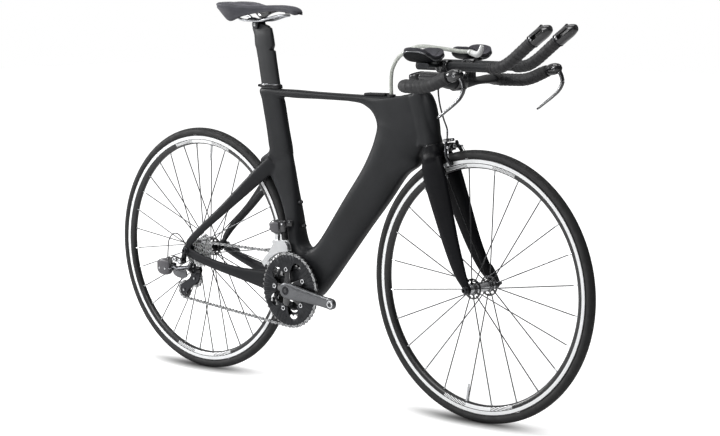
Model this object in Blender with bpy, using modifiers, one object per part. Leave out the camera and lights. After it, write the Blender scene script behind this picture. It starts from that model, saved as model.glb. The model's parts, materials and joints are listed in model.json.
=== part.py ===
"""A time-trial bicycle, piece by piece, at its real size.

Blender 4.5. +X is forwards, +Y the rider's left and +Z up. The origin is on the ground,
midway between the two wheels. Every size below is in millimetres, with x measured forwards
from the rear axle and z upwards from the ground.
"""

import math

import bmesh
import bpy
from mathutils import Matrix, Vector

MM = 0.001
GAP = 0.3  # between two pieces that touch

# Wheels
WHEELBASE = 970.0
TYRE_WIDTH = 23.0
TYRE_HEIGHT = 20.4  # from the rim's edge to the ground
RIM_RADIUS = 313.6
WHEEL_RADIUS = RIM_RADIUS + TYRE_HEIGHT
RIM_DEPTH = 24.0
RIM_WIDTH = 19.4
WHEEL_STEPS = 36
FRONT_SPOKES = 24
REAR_SPOKES = 32
SPOKE_WIDTH = 2.2
FLANGE_RADIUS = 25.5
SPOKE_CIRCLE = 21.5
HUB_BODY_RADIUS = 12.5
AXLE_RADIUS = 5.0
FRONT_HUB_WIDTH = 100.0
REAR_HUB_WIDTH = 130.0
FRONT_FLANGE = 32.0  # from the wheel's middle to each flange
REAR_FLANGE_RIGHT = 17.0
REAR_FLANGE_LEFT = 34.0

# Drivetrain
CRANK_CENTRE = (370.0, 264.0)
CRANK_LENGTH = 165.0
CRANK_ANGLE = -5.5  # degrees below the horizontal, at rest
CHAIN_PITCH = 12.7
OUTER_RING_TEETH = 48
INNER_RING_TEETH = 34
SPROCKET_TEETH = (11, 12, 13, 14, 15, 17, 19, 21, 23, 25)
CHAIN_SPROCKET = 2  # the chain lies on the third smallest sprocket
SPROCKET_STEP = 3.9
JOCKEY_TEETH = 11
TOOTH_TIP = 1.0  # a tooth's tip stands this far over the pitch circle
TOOTH_DEPTH = 4.2
OUTER_RING_Y = -46.5
INNER_RING_Y = -39.5
RING_WALL = 3.0
BOLT_CIRCLE = 55.0
SPIDER_WALL = 3.0
SPIDER_TURN = 36.0  # from the arm to the next bolt
SPINDLE_RADIUS = 12.0
SHELL_HALF_WIDTH = 34.0
SHELL_RADIUS = 28.0
CUP_RADIUS = 21.0
CUP_WALL = 8.5
CHAIN_WIDTH = 5.4
CHAIN_DEPTH = 2.9
GUIDE_PULLEY = (12.0, 256.0)
TENSION_PULLEY = (-30.0, 220.0)
CAGE_PIVOT = (25.0, 280.0)
LINK_REAR = (-44.0, -80.0, 286.0)
LINK_FRONT = (25.0, -80.5, 292.0)
LINK_TILT = 0.6  # radians: the link's pins lean in at the top, so the cage drops as it swings in

# Front end
HEAD_ANGLE = 72.5
HEAD_POINT = (778.0, 800.0)  # where the steering axis meets this height
HEAD_TOP = 4.0  # along the steering axis from that point
HEAD_BOTTOM = -136.3
HEAD_TOP_RADIUS = 20.5
HEAD_BOTTOM_RADIUS = 24.5
STEERER_RADIUS = 14.3
STEERER_TOP = 39.0
BAR_HALF_WIDTH = 192.0
BAR_POINT = (893.0, 828.0)
EXTENSION_Y = 50.0
EXTENSION_RADIUS = 11.1
EXTENSION_Z = 868.0
HOSE_RADIUS = 4.2
TAPE_WALL = 3.4
PAD_Y = 92.0
PAD_HALF_WIDTH = 39.0
PAD_WALL = 9.0
CUP_SHELL = 3.0
LEVER_PIVOT = (1047.0, 857.0)

# Saddle and seatpost
POST_LEAN = 0.195  # how far the post leans back for each unit of height
POST_REAR_AT_COLLAR = 229.0
COLLAR_Z = 787.0
POST_CHORD = 66.0
POST_HALF_WIDTH = 10.5
POST_TOP = 944.0
POST_BOTTOM = 655.0
SOCKET_BOTTOM = 606.0
SADDLE_PIVOT = (216.0, 954.0)
RAIL_RADIUS = 3.5
RAIL_Y = 22.0
RAIL_FRONT = (325.0, 0.0, 979.0)
RAIL_BEHIND = (138.0, 30.0, 978.0)

# Brakes, in distances from the wheel's axle
PAD_TRACK = 307.0
BRAKE_PIVOT = 351.0
BRAKE_PIVOT_Y = 14.0
PAD_TO_RIM = 2.7
FRONT_BRAKE_ANGLE = 108.6
REAR_BRAKE_ANGLE = -20.0

COLOURS = {
    "carbon": ((0.035, 0.037, 0.042), 0.42, 0.0),
    "gloss_black": ((0.012, 0.012, 0.014), 0.18, 0.0),
    "tyre": ((0.045, 0.046, 0.05), 0.75, 0.0),
    "rim": ((0.03, 0.03, 0.032), 0.3, 0.2),
    "steel": ((0.55, 0.56, 0.57), 0.3, 1.0),
    "chain": ((0.5, 0.5, 0.48), 0.35, 1.0),
    "alloy": ((0.62, 0.63, 0.65), 0.28, 1.0),
    "graphite": ((0.075, 0.078, 0.085), 0.4, 0.6),
    "tape": ((0.03, 0.03, 0.032), 0.85, 0.0),
    "rubber": ((0.02, 0.02, 0.022), 0.8, 0.0),
    "saddle": ((0.03, 0.03, 0.038), 0.5, 0.0),
    "pad": ((0.04, 0.04, 0.05), 0.8, 0.0),
    "hose": ((0.75, 0.77, 0.74), 0.3, 0.0),
}


# Building blocks


# The front axle's x and both axles' height, as the places in this file were drawn. at() moves the
# places where the wheelbase or the wheels are changed: the tubes within these spans grow or shrink,
# and what sits at their ends keeps its size.
DRAWN_AXLES = (970.0, 334.0)
FRONT_AXLE, AXLE_HEIGHT = DRAWN_AXLES
MAIN_TUBES = (480.0, 630.0)  # in x
STAYS = (60.0, 215.0)  # in x
UPRIGHTS = (480.0, 640.0)  # in z


def share(value, span):
    """How far a value has come through a span, from 0 to 1."""
    return min(max((value - span[0]) / (span[1] - span[0]), 0.0), 1.0)


def at(x, y, z):
    """A place in metres, from x forwards of the rear axle and z over the ground, as drawn."""
    grown = WHEEL_RADIUS - AXLE_HEIGHT
    ahead, up = share(x, MAIN_TUBES), share(z, UPRIGHTS)
    clear = grown * max(share(x, STAYS), up)
    x += clear * (1 - ahead) + (WHEELBASE - FRONT_AXLE) * ahead
    return Vector((x - WHEELBASE / 2, y, z + grown * (1 + up))) * MM


def clear_scene():
    for obj in list(bpy.data.objects):
        bpy.data.objects.remove(obj)


def collection(name):
    made = bpy.data.collections.new(name)
    bpy.context.scene.collection.children.link(made)
    return made


clear_scene()
BICYCLE = collection("bicycle")
CONSTRUCTION = collection("construction")


def material(name, finish):
    colour, roughness, metallic = COLOURS[finish]
    made = bpy.data.materials.new(name)
    made.use_nodes = True
    shader = made.node_tree.nodes["Principled BSDF"]
    shader.inputs["Base Color"].default_value = (*colour, 1.0)
    shader.inputs["Roughness"].default_value = roughness
    shader.inputs["Metallic"].default_value = metallic
    return made


def put(obj, finish):
    """Links an object as a piece, or as a helper where it has no finish."""
    if finish is None:
        CONSTRUCTION.objects.link(obj)
        obj.hide_render = True
        obj.display_type = "WIRE"
    else:
        BICYCLE.objects.link(obj)
        obj.data.materials.append(material(obj.name, finish))
    return obj


def finished(name, work, finish):
    """Turns a working mesh into a smooth-shaded object with its faces pointing out."""
    bmesh.ops.recalc_face_normals(work, faces=work.faces)
    mesh = bpy.data.meshes.new(name)
    work.to_mesh(mesh)
    work.free()
    mesh.shade_smooth()
    mesh.set_sharp_from_angle(angle=math.radians(40))
    return put(bpy.data.objects.new(name, mesh), finish)


def loft(name, rings, finish, closed=False):
    """A skin over rings of equal count, with flat ends or closed round on itself."""
    count = len(rings[0])
    verts = [point for ring in rings for point in ring]
    faces = []
    spans = len(rings) if closed else len(rings) - 1
    for i in range(spans):
        a, b = i * count, (i + 1) % len(rings) * count
        for k in range(count):
            n = (k + 1) % count
            faces.append((a + k, a + n, b + n, b + k))
    if not closed:
        faces.append(tuple(range(count)))
        faces.append(tuple(range(len(verts) - count, len(verts))))
    work = bmesh.new()
    corners = [work.verts.new(point) for point in verts]
    for face in faces:
        work.faces.new([corners[k] for k in face])
    return finished(name, work, finish)


def oval(centre, side, rise, count=12, power=1.0):
    """A ring: centre + side * cos + rise * sin, squarer where power is under 1."""
    ring = []
    for k in range(count):
        turn = 2 * math.pi * k / count
        c, s = math.cos(turn), math.sin(turn)
        c = math.copysign(abs(c) ** power, c)
        s = math.copysign(abs(s) ** power, s)
        ring.append(centre + side * c + rise * s)
    return ring


def sweep(name, stations, finish, up=(0, 0, 1), count=10, power=1.0):
    """A skin along a path. A station is x, y, z, the half size across and the half size up."""
    places = [at(*station[:3]) for station in stations]
    rings = []
    for i, (place, station) in enumerate(zip(places, stations)):
        ahead = places[min(i + 1, len(places) - 1)] - places[max(i - 1, 0)]
        across = ahead.cross(Vector(up)).normalized()
        rise = across.cross(ahead).normalized()
        rings.append(oval(place, across * station[3] * MM, rise * station[4] * MM, count, power))
    return loft(name, rings, finish)


def smooth_path(points, steps=3):
    """Points on a Catmull-Rom curve through the given points, ends included."""
    knots = [Vector(p) for p in points]
    knots = [2 * knots[0] - knots[1], *knots, 2 * knots[-1] - knots[-2]]
    path = []
    for a, b, c, d in zip(knots, knots[1:], knots[2:], knots[3:]):
        for k in range(steps):
            t = k / steps
            bend = (2 * a - 5 * b + 4 * c - d) * t**2 + (3 * b - a - 3 * c + d) * t**3
            path.append(0.5 * (2 * b + (c - a) * t + bend))
    return path + [knots[-2]]


def wire(name, points, radius, finish, resolution=2, steps=3):
    """A round wire, tube or hose as a curve through the points."""
    curve = bpy.data.curves.new(name, "CURVE")
    curve.dimensions = "3D"
    curve.bevel_depth = radius * MM
    curve.bevel_resolution = resolution
    curve.use_fill_caps = True
    line = curve.splines.new("POLY")
    path = smooth_path(points, steps)
    line.points.add(len(path) - 1)
    for point, place in zip(line.points, path):
        point.co = (*at(*place), 1.0)
    return put(bpy.data.objects.new(name, curve), finish)


def prism(name, outline, y, wall, finish=None):
    """A plate in the XZ plane, extruded from one closed outline of (x, z), with its middle at y."""
    work = bmesh.new()
    face = work.faces.new([work.verts.new(at(x, y - wall / 2, z)) for x, z in outline])
    grown = bmesh.ops.extrude_face_region(work, geom=[face])
    moved = [item for item in grown["geom"] if isinstance(item, bmesh.types.BMVert)]
    bmesh.ops.translate(work, verts=moved, vec=(0, wall * MM, 0))
    return finished(name, work, finish)


def flat(name, loops, y, wall, finish, centre=(0.0, 0.0)):
    """A plate in the XZ plane, from closed loops of (x, z), with its middle at y."""
    curve = bpy.data.curves.new(name, "CURVE")
    curve.dimensions = "2D"
    curve.fill_mode = "BOTH"
    curve.extrude = wall / 2 * MM
    for loop in loops:
        line = curve.splines.new("POLY")
        line.points.add(len(loop) - 1)
        line.use_cyclic_u = True
        for point, (x, z) in zip(line.points, loop):
            point.co = (x * MM, z * MM, 0.0, 1.0)
    obj = bpy.data.objects.new(name, curve)
    obj.location = at(centre[0], y, centre[1])
    obj.rotation_euler = (math.radians(90), 0, 0)
    return put(obj, finish)


def turned(name, profile, centre, finish, steps=24):
    """A ring turned about the Y axis, from a closed profile of (radius, y)."""
    area = sum(
        r1 * h2 - r2 * h1
        for (r1, h1), (r2, h2) in zip(profile, profile[1:] + profile[:1])
    )
    if area > 0:
        profile = profile[::-1]
    mesh = bpy.data.meshes.new(name)
    count = len(profile)
    mesh.from_pydata(
        [(r * MM, 0.0, h * MM) for r, h in profile],
        [(k, (k + 1) % count) for k in range(count)],
        [],
    )
    obj = bpy.data.objects.new(name, mesh)
    obj.location = at(*centre)
    obj.rotation_euler = (math.radians(-90), 0, 0)
    screw = obj.modifiers.new("turn", "SCREW")
    screw.steps = screw.render_steps = steps
    screw.use_smooth_shade = True
    screw.use_merge_vertices = True
    screw.merge_threshold = 0.00001
    return put(obj, finish)


def add_bar(work, start, end, radius, last, count):
    """Adds a capped cylinder or cone between two places in metres."""
    line = end - start
    turn = line.to_track_quat("Z", "Y").to_matrix().to_4x4()
    bmesh.ops.create_cone(
        work,
        cap_ends=True,
        segments=count,
        radius1=radius * MM,
        radius2=last * MM,
        depth=line.length,
        matrix=Matrix.Translation((start + end) / 2) @ turn,
    )


def bar(name, start, end, radius, finish, count=16, end_radius=None):
    """A round bar or cone between two places."""
    work = bmesh.new()
    last = radius if end_radius is None else end_radius
    add_bar(work, at(*start), at(*end), radius, last, count)
    return finished(name, work, finish)


def block(name, low, high, finish, round_by=0.0):
    """A box between two corners, with its edges rounded."""
    work = bmesh.new()
    bmesh.ops.create_cube(work, size=1.0)
    a, b = at(*low), at(*high)
    size = b - a
    bmesh.ops.transform(work, matrix=Matrix.Diagonal((*size, 1.0)), verts=work.verts)
    mesh = bpy.data.meshes.new(name)
    work.to_mesh(mesh)
    work.free()
    obj = bpy.data.objects.new(name, mesh)
    obj.location = (a + b) / 2
    if round_by:
        edge = obj.modifiers.new("round", "BEVEL")
        edge.width = round_by * MM
        edge.segments = 1
        edge.limit_method = "NONE"
    return put(obj, finish)


def join(obj, *others):
    """Unions the helper solids on to a piece."""
    for other in others:
        union = obj.modifiers.new("join", "BOOLEAN")
        union.operation = "UNION"
        union.solver = "EXACT"
        union.object = other
    return obj


def cut(obj, *others):
    """Cuts the helper solids out of a piece."""
    for other in others:
        difference = obj.modifiers.new("cut", "BOOLEAN")
        difference.operation = "DIFFERENCE"
        difference.solver = "EXACT"
        difference.object = other
    return obj


def mirrored(points):
    """The same places on the other side of the bicycle."""
    return [(p[0], -p[1], *p[2:]) for p in points]


def side_name(side):
    return "right" if side < 0 else "left"


def arc(centre, radius, start, end, count):
    """Points (x, z) on an arc between two angles in degrees."""
    points = []
    for k in range(count):
        turn = math.radians(start + (end - start) * k / (count - 1))
        points.append((centre[0] + radius * math.cos(turn), centre[1] + radius * math.sin(turn)))
    return points


def pitch_radius(teeth):
    return CHAIN_PITCH / (2 * math.sin(math.pi / teeth))


def tip_radius(teeth):
    return pitch_radius(teeth) + TOOTH_TIP


def toothed_outline(teeth, points=2):
    """A sprocket's edge: tips on one circle and roots on another."""
    outline = []
    for k in range(teeth * points):
        turn = 2 * math.pi * k / (teeth * points)
        radius = tip_radius(teeth) - (0 if k % points == 0 else TOOTH_DEPTH)
        outline.append((radius * math.cos(turn), radius * math.sin(turn)))
    return outline


# The steering axis

HEAD_LEAN = math.radians(90 - HEAD_ANGLE)


def on_axis(along, ahead=0.0, y=0.0):
    """A place from the steering axis: along it, ahead of it and to the side."""
    x = HEAD_POINT[0] - math.sin(HEAD_LEAN) * along + math.cos(HEAD_LEAN) * ahead
    z = HEAD_POINT[1] + math.cos(HEAD_LEAN) * along + math.sin(HEAD_LEAN) * ahead
    return (x, y, z)


# Frame

# Each station of the front triangle: the inner point (x, z), the outer point (x, z) and
# half the tube's width there, round from the seat cluster down to the crank and back.
REAR_ARC = AXLE_HEIGHT + 8.0


def beside_wheel(angle):
    """A point on the cut-out round the rear wheel."""
    turn = math.radians(angle)
    return (REAR_ARC * math.cos(turn), AXLE_HEIGHT + REAR_ARC * math.sin(turn))


TRIANGLE = [
    ((303, 764), (227, 787), 14.5),
    ((308, 750), (232, 752), 14.5),
    ((323, 680), (246, 690), 14.5),
    ((336, 620), (256, 620), 14.5),
    ((339, 610), (222, 594), 12),
    ((345, 580), beside_wheel(42), 14),
    ((356, 524), beside_wheel(34), 16),
    ((364, 484), beside_wheel(26), 19),
    ((372, 430), beside_wheel(14), 24),
    ((381, 389), beside_wheel(0), 30),
    ((394, 377), (342, 262), 33),
    ((408, 376), (385, 228), 33),
    ((417, 379), (420, 240), 31),
    ((431, 387), (452, 261), 28),
    ((457, 416), (536, 358), 25),
    ((527, 511), (606, 441), 25),
    ((590, 593), (673, 518), 26),
    ((623, 649), (729, 586), 26),
    ((637, 685), (772, 616), 26),
    ((642, 706), (777, 640), 25),
    ((640, 719), (797, 666), 25),
    ((634, 730), (832, 684), 24),
    ((627, 739), (836, 706), 23),
    ((618, 747), (830, 745), 22),
    ((607, 753), (820, 778), 21),
    ((590, 760), (786, 799), 19.5),
    ((568, 764), (738, 790), 18),
    ((552, 765), (700, 786), 17),
    ((438, 766), (440, 785), 15),
    ((360, 765), (360, 787), 14.5),
    ((325, 766), (305, 787), 14.5),
]


def front_triangle():
    rings = []
    for inner, outer, half_width in TRIANGLE:
        a, b = at(inner[0], 0, inner[1]), at(outer[0], 0, outer[1])
        rings.append(oval((a + b) / 2, (b - a) / 2, Vector((0, half_width * MM, 0)), 10, 0.62))
    return loft("frame", rings, "carbon", closed=True)


DROPOUT_Y = REAR_HUB_WIDTH / 2 + 4.0
DROPOUT_WALL = 7.0
STAY_SIDES = 6


def stays(side):
    """The seat stay, chain stay and dropout of one side."""
    y = DROPOUT_Y
    seat_stay = [
        (276, 10, 592, 7, 21),
        (222, 28, 543, 8, 19),
        (180, 40, 504, 8, 16.5),
        (122, 51, 454, 7.5, 13),
        (53, 60, 399, 7, 11),
        (8, y - 1, 358, 4.5, 11),
        (-3, y, 340, 2.6, 9),
    ]
    chain_stay = [
        (352, 24, 262, 9.5, 24),
        (300, 25, 270, 8, 28),
        (222, 36, 283, 8, 21),
        (180, 45, 289, 7.5, 16.5),
        (115, 56, 301, 7, 13.5),
        (60, y - 5, 314, 6, 13),
        (17, y - 0.5, 327, 3.6, 13),
        (-4, y + 0.2, 333, 2.7, 12),
    ]
    upper = sweep(
        f"seat_stay_{side_name(side)}",
        [(x, side * lateral, z, a, b) for x, lateral, z, a, b in seat_stay],
        None,
        count=STAY_SIDES,
        power=0.85,
    )
    lower = sweep(
        f"chain_stay_{side_name(side)}",
        [(x, side * lateral, z, a, b) for x, lateral, z, a, b in chain_stay],
        None,
        count=STAY_SIDES,
        power=0.85,
    )
    face = DROPOUT_WALL / 2
    plate = bar(
        f"dropout_{side_name(side)}",
        (0, side * (y - face), AXLE_HEIGHT),
        (0, side * (y + face), AXLE_HEIGHT),
        17.0,
        None,
        14,
    )
    return [upper, lower, plate]


def axle_slot(name, x, reach):
    """A cutter for both dropouts' slots: round over the axle and open below."""
    radius = AXLE_RADIUS + 2 * GAP
    outline = [(x - radius, AXLE_HEIGHT - 60), (x + radius, AXLE_HEIGHT - 60)]
    outline += arc((x, AXLE_HEIGHT), radius, 0, 180, 5)
    return prism(name, outline, 0, 2 * reach)


HANGER_BOLT = (-13.0, 305.0)


def hanger():
    """The lug under the right dropout that carries the rear derailleur."""
    face = DROPOUT_WALL / 2 - 0.4
    outline = [(-4, 338), (-16, 336), (-23, 316), *arc(HANGER_BOLT, 9, 170, 370, 8), (-2, 318)]
    return prism("hanger", outline, -DROPOUT_Y, 2 * face)


def post_edge(z):
    """The x of the seatpost's rear edge at a height."""
    return POST_REAR_AT_COLLAR + POST_LEAN * (COLLAR_Z - z)


def post_ring(z, half_chord, half_width, shift=0.0):
    middle = at(post_edge(z) + POST_CHORD / 2 + shift, 0, z)
    return oval(middle, Vector((half_chord * MM, 0, 0)), Vector((0, half_width * MM, 0)), 12, 0.8)


def steerer_cutter(radius, low, high, name, end_radius=None):
    return bar(name, on_axis(low), on_axis(high), radius, None, 16, end_radius)


def frame():
    made = front_triangle()
    shell = bar(
        "bottom_bracket_shell",
        (CRANK_CENTRE[0], -SHELL_HALF_WIDTH, CRANK_CENTRE[1]),
        (CRANK_CENTRE[0], SHELL_HALF_WIDTH, CRANK_CENTRE[1]),
        SHELL_RADIUS,
        None,
        16,
    )
    head = steerer_cutter(HEAD_BOTTOM_RADIUS, HEAD_BOTTOM, HEAD_TOP, "head_tube", HEAD_TOP_RADIUS)
    pins = brake_pins(0.0, REAR_BRAKE_ANGLE, REAR_BRAKE_TANGENT, "rear_pin")
    pieces = [*stays(-1), *stays(1), hanger(), shell, head, brake_bridge(), *pins]
    join(made, *pieces)
    reach = DROPOUT_Y + DROPOUT_WALL
    slot = axle_slot("rear_slot", 0.0, reach)
    socket = loft(
        "seatpost_socket",
        [
            post_ring(SOCKET_BOTTOM, POST_CHORD / 2 + GAP, POST_HALF_WIDTH + GAP),
            post_ring(COLLAR_Z + 20, POST_CHORD / 2 + GAP, POST_HALF_WIDTH + GAP),
        ],
        None,
    )
    head_bore = steerer_cutter(STEERER_RADIUS + GAP, HEAD_BOTTOM - 30, HEAD_TOP + 30, "head_bore")
    shell_bore = bar(
        "shell_bore",
        (CRANK_CENTRE[0], -SHELL_HALF_WIDTH - 20, CRANK_CENTRE[1]),
        (CRANK_CENTRE[0], SHELL_HALF_WIDTH + 20, CRANK_CENTRE[1]),
        CUP_RADIUS - 4 + 2 * GAP,
        None,
        18,
    )
    hanger_bore = bar(
        "hanger_bore",
        (HANGER_BOLT[0], -DROPOUT_Y - 20, HANGER_BOLT[1]),
        (HANGER_BOLT[0], -DROPOUT_Y + 20, HANGER_BOLT[1]),
        4.0 + GAP,
        None,
        10,
    )
    return cut(made, slot, socket, head_bore, shell_bore, hanger_bore)


def seat_collar():
    """The clamp band round the seatpost, with its rear bolt lug."""
    bottom, top = COLLAR_Z + 2, COLLAR_Z + 11
    chord, width = POST_CHORD / 2 + 4.5, POST_HALF_WIDTH + 4.5
    made = loft(
        "seat_collar",
        [post_ring(bottom, chord, width, -0.5), post_ring(top, chord, width, -0.5)],
        "graphite",
    )
    rear = post_edge(bottom)
    lug = block("collar_lug", (rear - 12, -7, bottom), (rear + 2, 7, top), None, 1.5)
    hole = loft(
        "collar_hole",
        [
            post_ring(bottom - 10, POST_CHORD / 2 + GAP, POST_HALF_WIDTH + GAP),
            post_ring(top + 10, POST_CHORD / 2 + GAP, POST_HALF_WIDTH + GAP),
        ],
        None,
    )
    return cut(join(made, lug), hole)


def seatpost():
    """A deep blade with a small step in its front edge and a cradle pin on top."""
    made = loft(
        "seatpost",
        [
            post_ring(POST_BOTTOM, POST_CHORD / 2, POST_HALF_WIDTH),
            post_ring(872, POST_CHORD / 2, POST_HALF_WIDTH),
            post_ring(900, POST_CHORD / 2 + 2, POST_HALF_WIDTH, -1),
            post_ring(925, POST_CHORD / 2, POST_HALF_WIDTH, 2),
            post_ring(POST_TOP, POST_CHORD / 2 + 3, POST_HALF_WIDTH - 2.8, -4.5),
        ],
        "carbon",
    )
    front = post_edge(886) + POST_CHORD
    notch = bar("post_notch", (front + 5, -30, 888), (front + 5, 30, 888), 11.0, None, 10)
    x, z = SADDLE_PIVOT
    neck = loft(
        "post_neck",
        [
            oval(at(x + 13, 0, POST_TOP - 6), Vector((0.03, 0, 0)), Vector((0, 0.0072, 0)), 8, 0.8),
            oval(at(x + 17, 0, z + 2), Vector((0.025, 0, 0)), Vector((0, 0.0072, 0)), 8, 0.8),
        ],
        None,
    )
    pin = bar("cradle_pin", (x, -16, z), (x, 16, z), 5.0, None, 12)
    return cut(join(made, neck, pin), notch)


def saddle_clamp():
    """The cradle that grips the rails and turns on the post's pin, with its two ears."""
    x, z = SADDLE_PIVOT
    pieces = []
    for side in (-1, 1):
        ear = bar(
            f"clamp_ear_{side_name(side)}",
            (x, side * 8.5, z),
            (x, side * 15.6, z),
            11.0,
            None,
            12,
        )
        pieces.append(ear)
    made = block(
        "saddle_clamp",
        (x - 17, -RAIL_Y + 4.2, z + 6.5),
        (x + 17, RAIL_Y - 4.2, z + 16),
        "gloss_black",
        1.5,
    )
    join(made, *pieces)
    bore = bar("clamp_bore", (x, -30, z), (x, 30, z), 5.0 + GAP, None, 12)
    relief = bar("clamp_relief", (x, -8.0, z), (x, 8.0, z), 11.5, None, 12)
    return cut(made, bore, relief)


def saddle_rails():
    """Both rails, bent from one rod that crosses under the nose."""
    x, z = SADDLE_PIVOT
    top = z + 11
    right = [
        (RAIL_BEHIND[0], -RAIL_BEHIND[1], RAIL_BEHIND[2]),
        (154, -27, 975),
        (174, -RAIL_Y, top + 2),
        (x - 20, -RAIL_Y, top),
        (x + 25, -RAIL_Y, top),
        (268, -RAIL_Y, 970),
        (300, -17, 977),
        (319, -9, 979),
    ]
    path = right + [RAIL_FRONT] + mirrored(right[::-1])
    return wire("saddle_rails", path, RAIL_RADIUS, "alloy", 1, 1)


# Each station of the saddle: x, half width, height of the crown, of the edge and of the skirt.
SADDLE = [
    (107, 30, 1007, 1001, 998),
    (112, 55, 1012, 1005, 997.5),
    (126, 66, 1013.5, 1005, 992.5),
    (140, 69, 1012.6, 1004, 984),
    (152, 69, 1011, 1003, 975),
    (163, 67.5, 1009.5, 1001.5, 967.5),
    (176, 64, 1007, 1000, 965.5),
    (200, 54, 1004.5, 997, 974),
    (228, 42, 1004.5, 996, 980),
    (262, 30, 1005.5, 996, 984),
    (300, 22.5, 1006, 996, 985),
    (335, 19.5, 1003, 993, 984),
    (356, 17, 997, 989, 981),
    (367, 10, 990, 986, 981),
]
SHELL_WALL = 2.6


# Across the saddle's pad: how far out, how far from the crown down to the edge, as parts of one.
PAD_SECTION = [
    (0.93, 1.25),
    (1.0, 0.8),
    (0.98, 0.45),
    (0.86, 0.2),
    (0.62, 0.04),
    (0.36, 0.0),
]


def saddle_pad():
    """The padded top: crowned across, drawn in at its sides, with a channel down its middle."""
    rings = []
    for x, half, crown, edge, skirt in SADDLE:
        deep = min(1.0, max(0.0, (x - 112) / 20), max(0.0, (340 - x) / 30))
        right = [at(x, -half * v, crown - (crown - edge) * w) for v, w in PAD_SECTION]
        left = [at(x, half * v, crown - (crown - edge) * w) for v, w in reversed(PAD_SECTION)]
        groove = ((-0.14, 0.7), (0.14, 0.7))
        channel = [at(x, half * v, crown - 3.6 * deep * w) for v, w in groove]
        low = (skirt + edge) / 2 - 1
        floor = [(0.93, low), (0.7, edge - 7), (0.0, edge - 5), (-0.7, edge - 7), (-0.93, low)]
        rings.append(right + channel + left + [at(x, half * v, h) for v, h in floor])
    return loft("saddle_pad", rings, "saddle")


def saddle_shell():
    """The moulded base under the pad, with wings that come down at the rear."""
    rings = []
    for x, half, _, edge, skirt in SADDLE[1:-1]:
        low = (skirt + edge) / 2
        out = [0.93, 0.7, 0.0, -0.7, -0.93]
        top = [low - 1.6, edge - 7.6, edge - 5.6, edge - 7.6, low - 1.6]
        ring = [at(x, half * v, h) for v, h in zip(out, top)]
        back = [-0.95, -0.7, 0.0, 0.7, 0.95]
        side_foot, middle_foot = edge - 7.6 - SHELL_WALL, edge - 5.6 - SHELL_WALL
        bottom = [skirt, side_foot, middle_foot, side_foot, skirt]
        ring += [at(x, half * v, h) for v, h in zip(back, bottom)]
        rings.append(ring)
    made = loft("saddle_shell", rings, "gloss_black")
    front, behind = RAIL_FRONT, RAIL_BEHIND
    top = RAIL_RADIUS + GAP
    lugs = [block("nose_lug", (front[0] - 8, -9, front[2] + top), (front[0] + 8, 9, front[2] + 7), None)]
    for side in (-1, 1):
        y = side * behind[1]
        low = (behind[0] - 6, y - 6, behind[2] + top + 0.1)
        lugs.append(block(f"rear_lug_{side_name(side)}", low, (behind[0] + 8, y + 6, behind[2] + 17.5), None))
    return join(made, *lugs)


# Wheels


def tyre(name, x):
    half = TYRE_WIDTH / 2
    middle = WHEEL_RADIUS - half
    base = RIM_RADIUS + GAP
    foot = RIM_WIDTH / 2 - 1.5
    profile = [(base, -foot)]
    for k in range(5):
        turn = math.radians(-115 + 230 * k / 4)
        profile.append((middle + half * math.cos(turn), half * math.sin(turn)))
    profile.append((base, foot))
    return turned(name, profile, (x, 0, AXLE_HEIGHT), "tyre", WHEEL_STEPS)


def rim(name, x):
    half = RIM_WIDTH / 2
    inner = RIM_RADIUS - RIM_DEPTH
    profile = [
        (RIM_RADIUS, half - 0.2),
        (RIM_RADIUS - 12, half),
        (inner, 4.5),
        (inner, -4.5),
        (RIM_RADIUS - 12, -half),
        (RIM_RADIUS, 0.2 - half),
    ]
    return turned(name, profile, (x, 0, AXLE_HEIGHT), "rim", WHEEL_STEPS)


def spokes(name, x, plans):
    """All spokes of a wheel. A plan is the rim angle, hub angle and y at the hub and rim."""
    work = bmesh.new()
    reach = (RIM_RADIUS - RIM_DEPTH) * math.cos(math.pi / WHEEL_STEPS) - GAP
    for rim_turn, hub_turn, hub_y, rim_y in plans:
        inner = Vector((math.sin(hub_turn), 0, math.cos(hub_turn))) * SPOKE_CIRCLE * MM
        outer = Vector((math.sin(rim_turn), 0, math.cos(rim_turn))) * reach * MM
        start = at(x, hub_y, AXLE_HEIGHT) + inner
        end = at(x, rim_y, AXLE_HEIGHT) + outer
        add_bar(work, start, end, SPOKE_WIDTH / 2, SPOKE_WIDTH / 2, 3)
    return finished(name, work, None)


def front_spoke_plans():
    """Radial spokes that go to the two flanges in turn."""
    plans = []
    for k in range(FRONT_SPOKES):
        side = -1 if k % 2 else 1
        turn = 2 * math.pi * (k + 0.5) / FRONT_SPOKES
        plans.append((turn, turn, side * FRONT_FLANGE, side * 1.5))
    return plans


def rear_spoke_plans():
    """Spokes that leave each flange forwards and backwards in turn and cross twice."""
    plans = []
    lead = 2 * math.pi * 3.5 / (REAR_SPOKES / 2) / 2
    for k in range(REAR_SPOKES):
        side = -1 if k % 2 else 1
        flange = REAR_FLANGE_LEFT if side > 0 else -REAR_FLANGE_RIGHT
        turn = 2 * math.pi * (k + 0.5) / REAR_SPOKES
        way = 1 if (k // 2) % 2 else -1
        plans.append((turn, turn + way * lead, flange + way * 1.7, side * 1.5))
    return plans


def front_hub():
    """The hub shell with both flanges, its bearing caps and its spokes."""
    f = FRONT_FLANGE
    edge = FRONT_HUB_WIDTH / 2 - GAP
    bore = AXLE_RADIUS + GAP
    half = [
        (bore, edge),
        (9, edge),
        (13, f + 6),
        (FLANGE_RADIUS, f + 2),
        (FLANGE_RADIUS, f - 2),
        (HUB_BODY_RADIUS + 1, f - 8),
    ]
    profile = half + [(r, -y) for r, y in reversed(half)]
    made = turned("front_hub", profile, (FRONT_AXLE, 0, AXLE_HEIGHT), "alloy", 16)
    return join(made, spokes("front_spokes", FRONT_AXLE, front_spoke_plans()))


FREEHUB_END = REAR_HUB_WIDTH / 2 - 4.0  # the lockring's face


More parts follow.
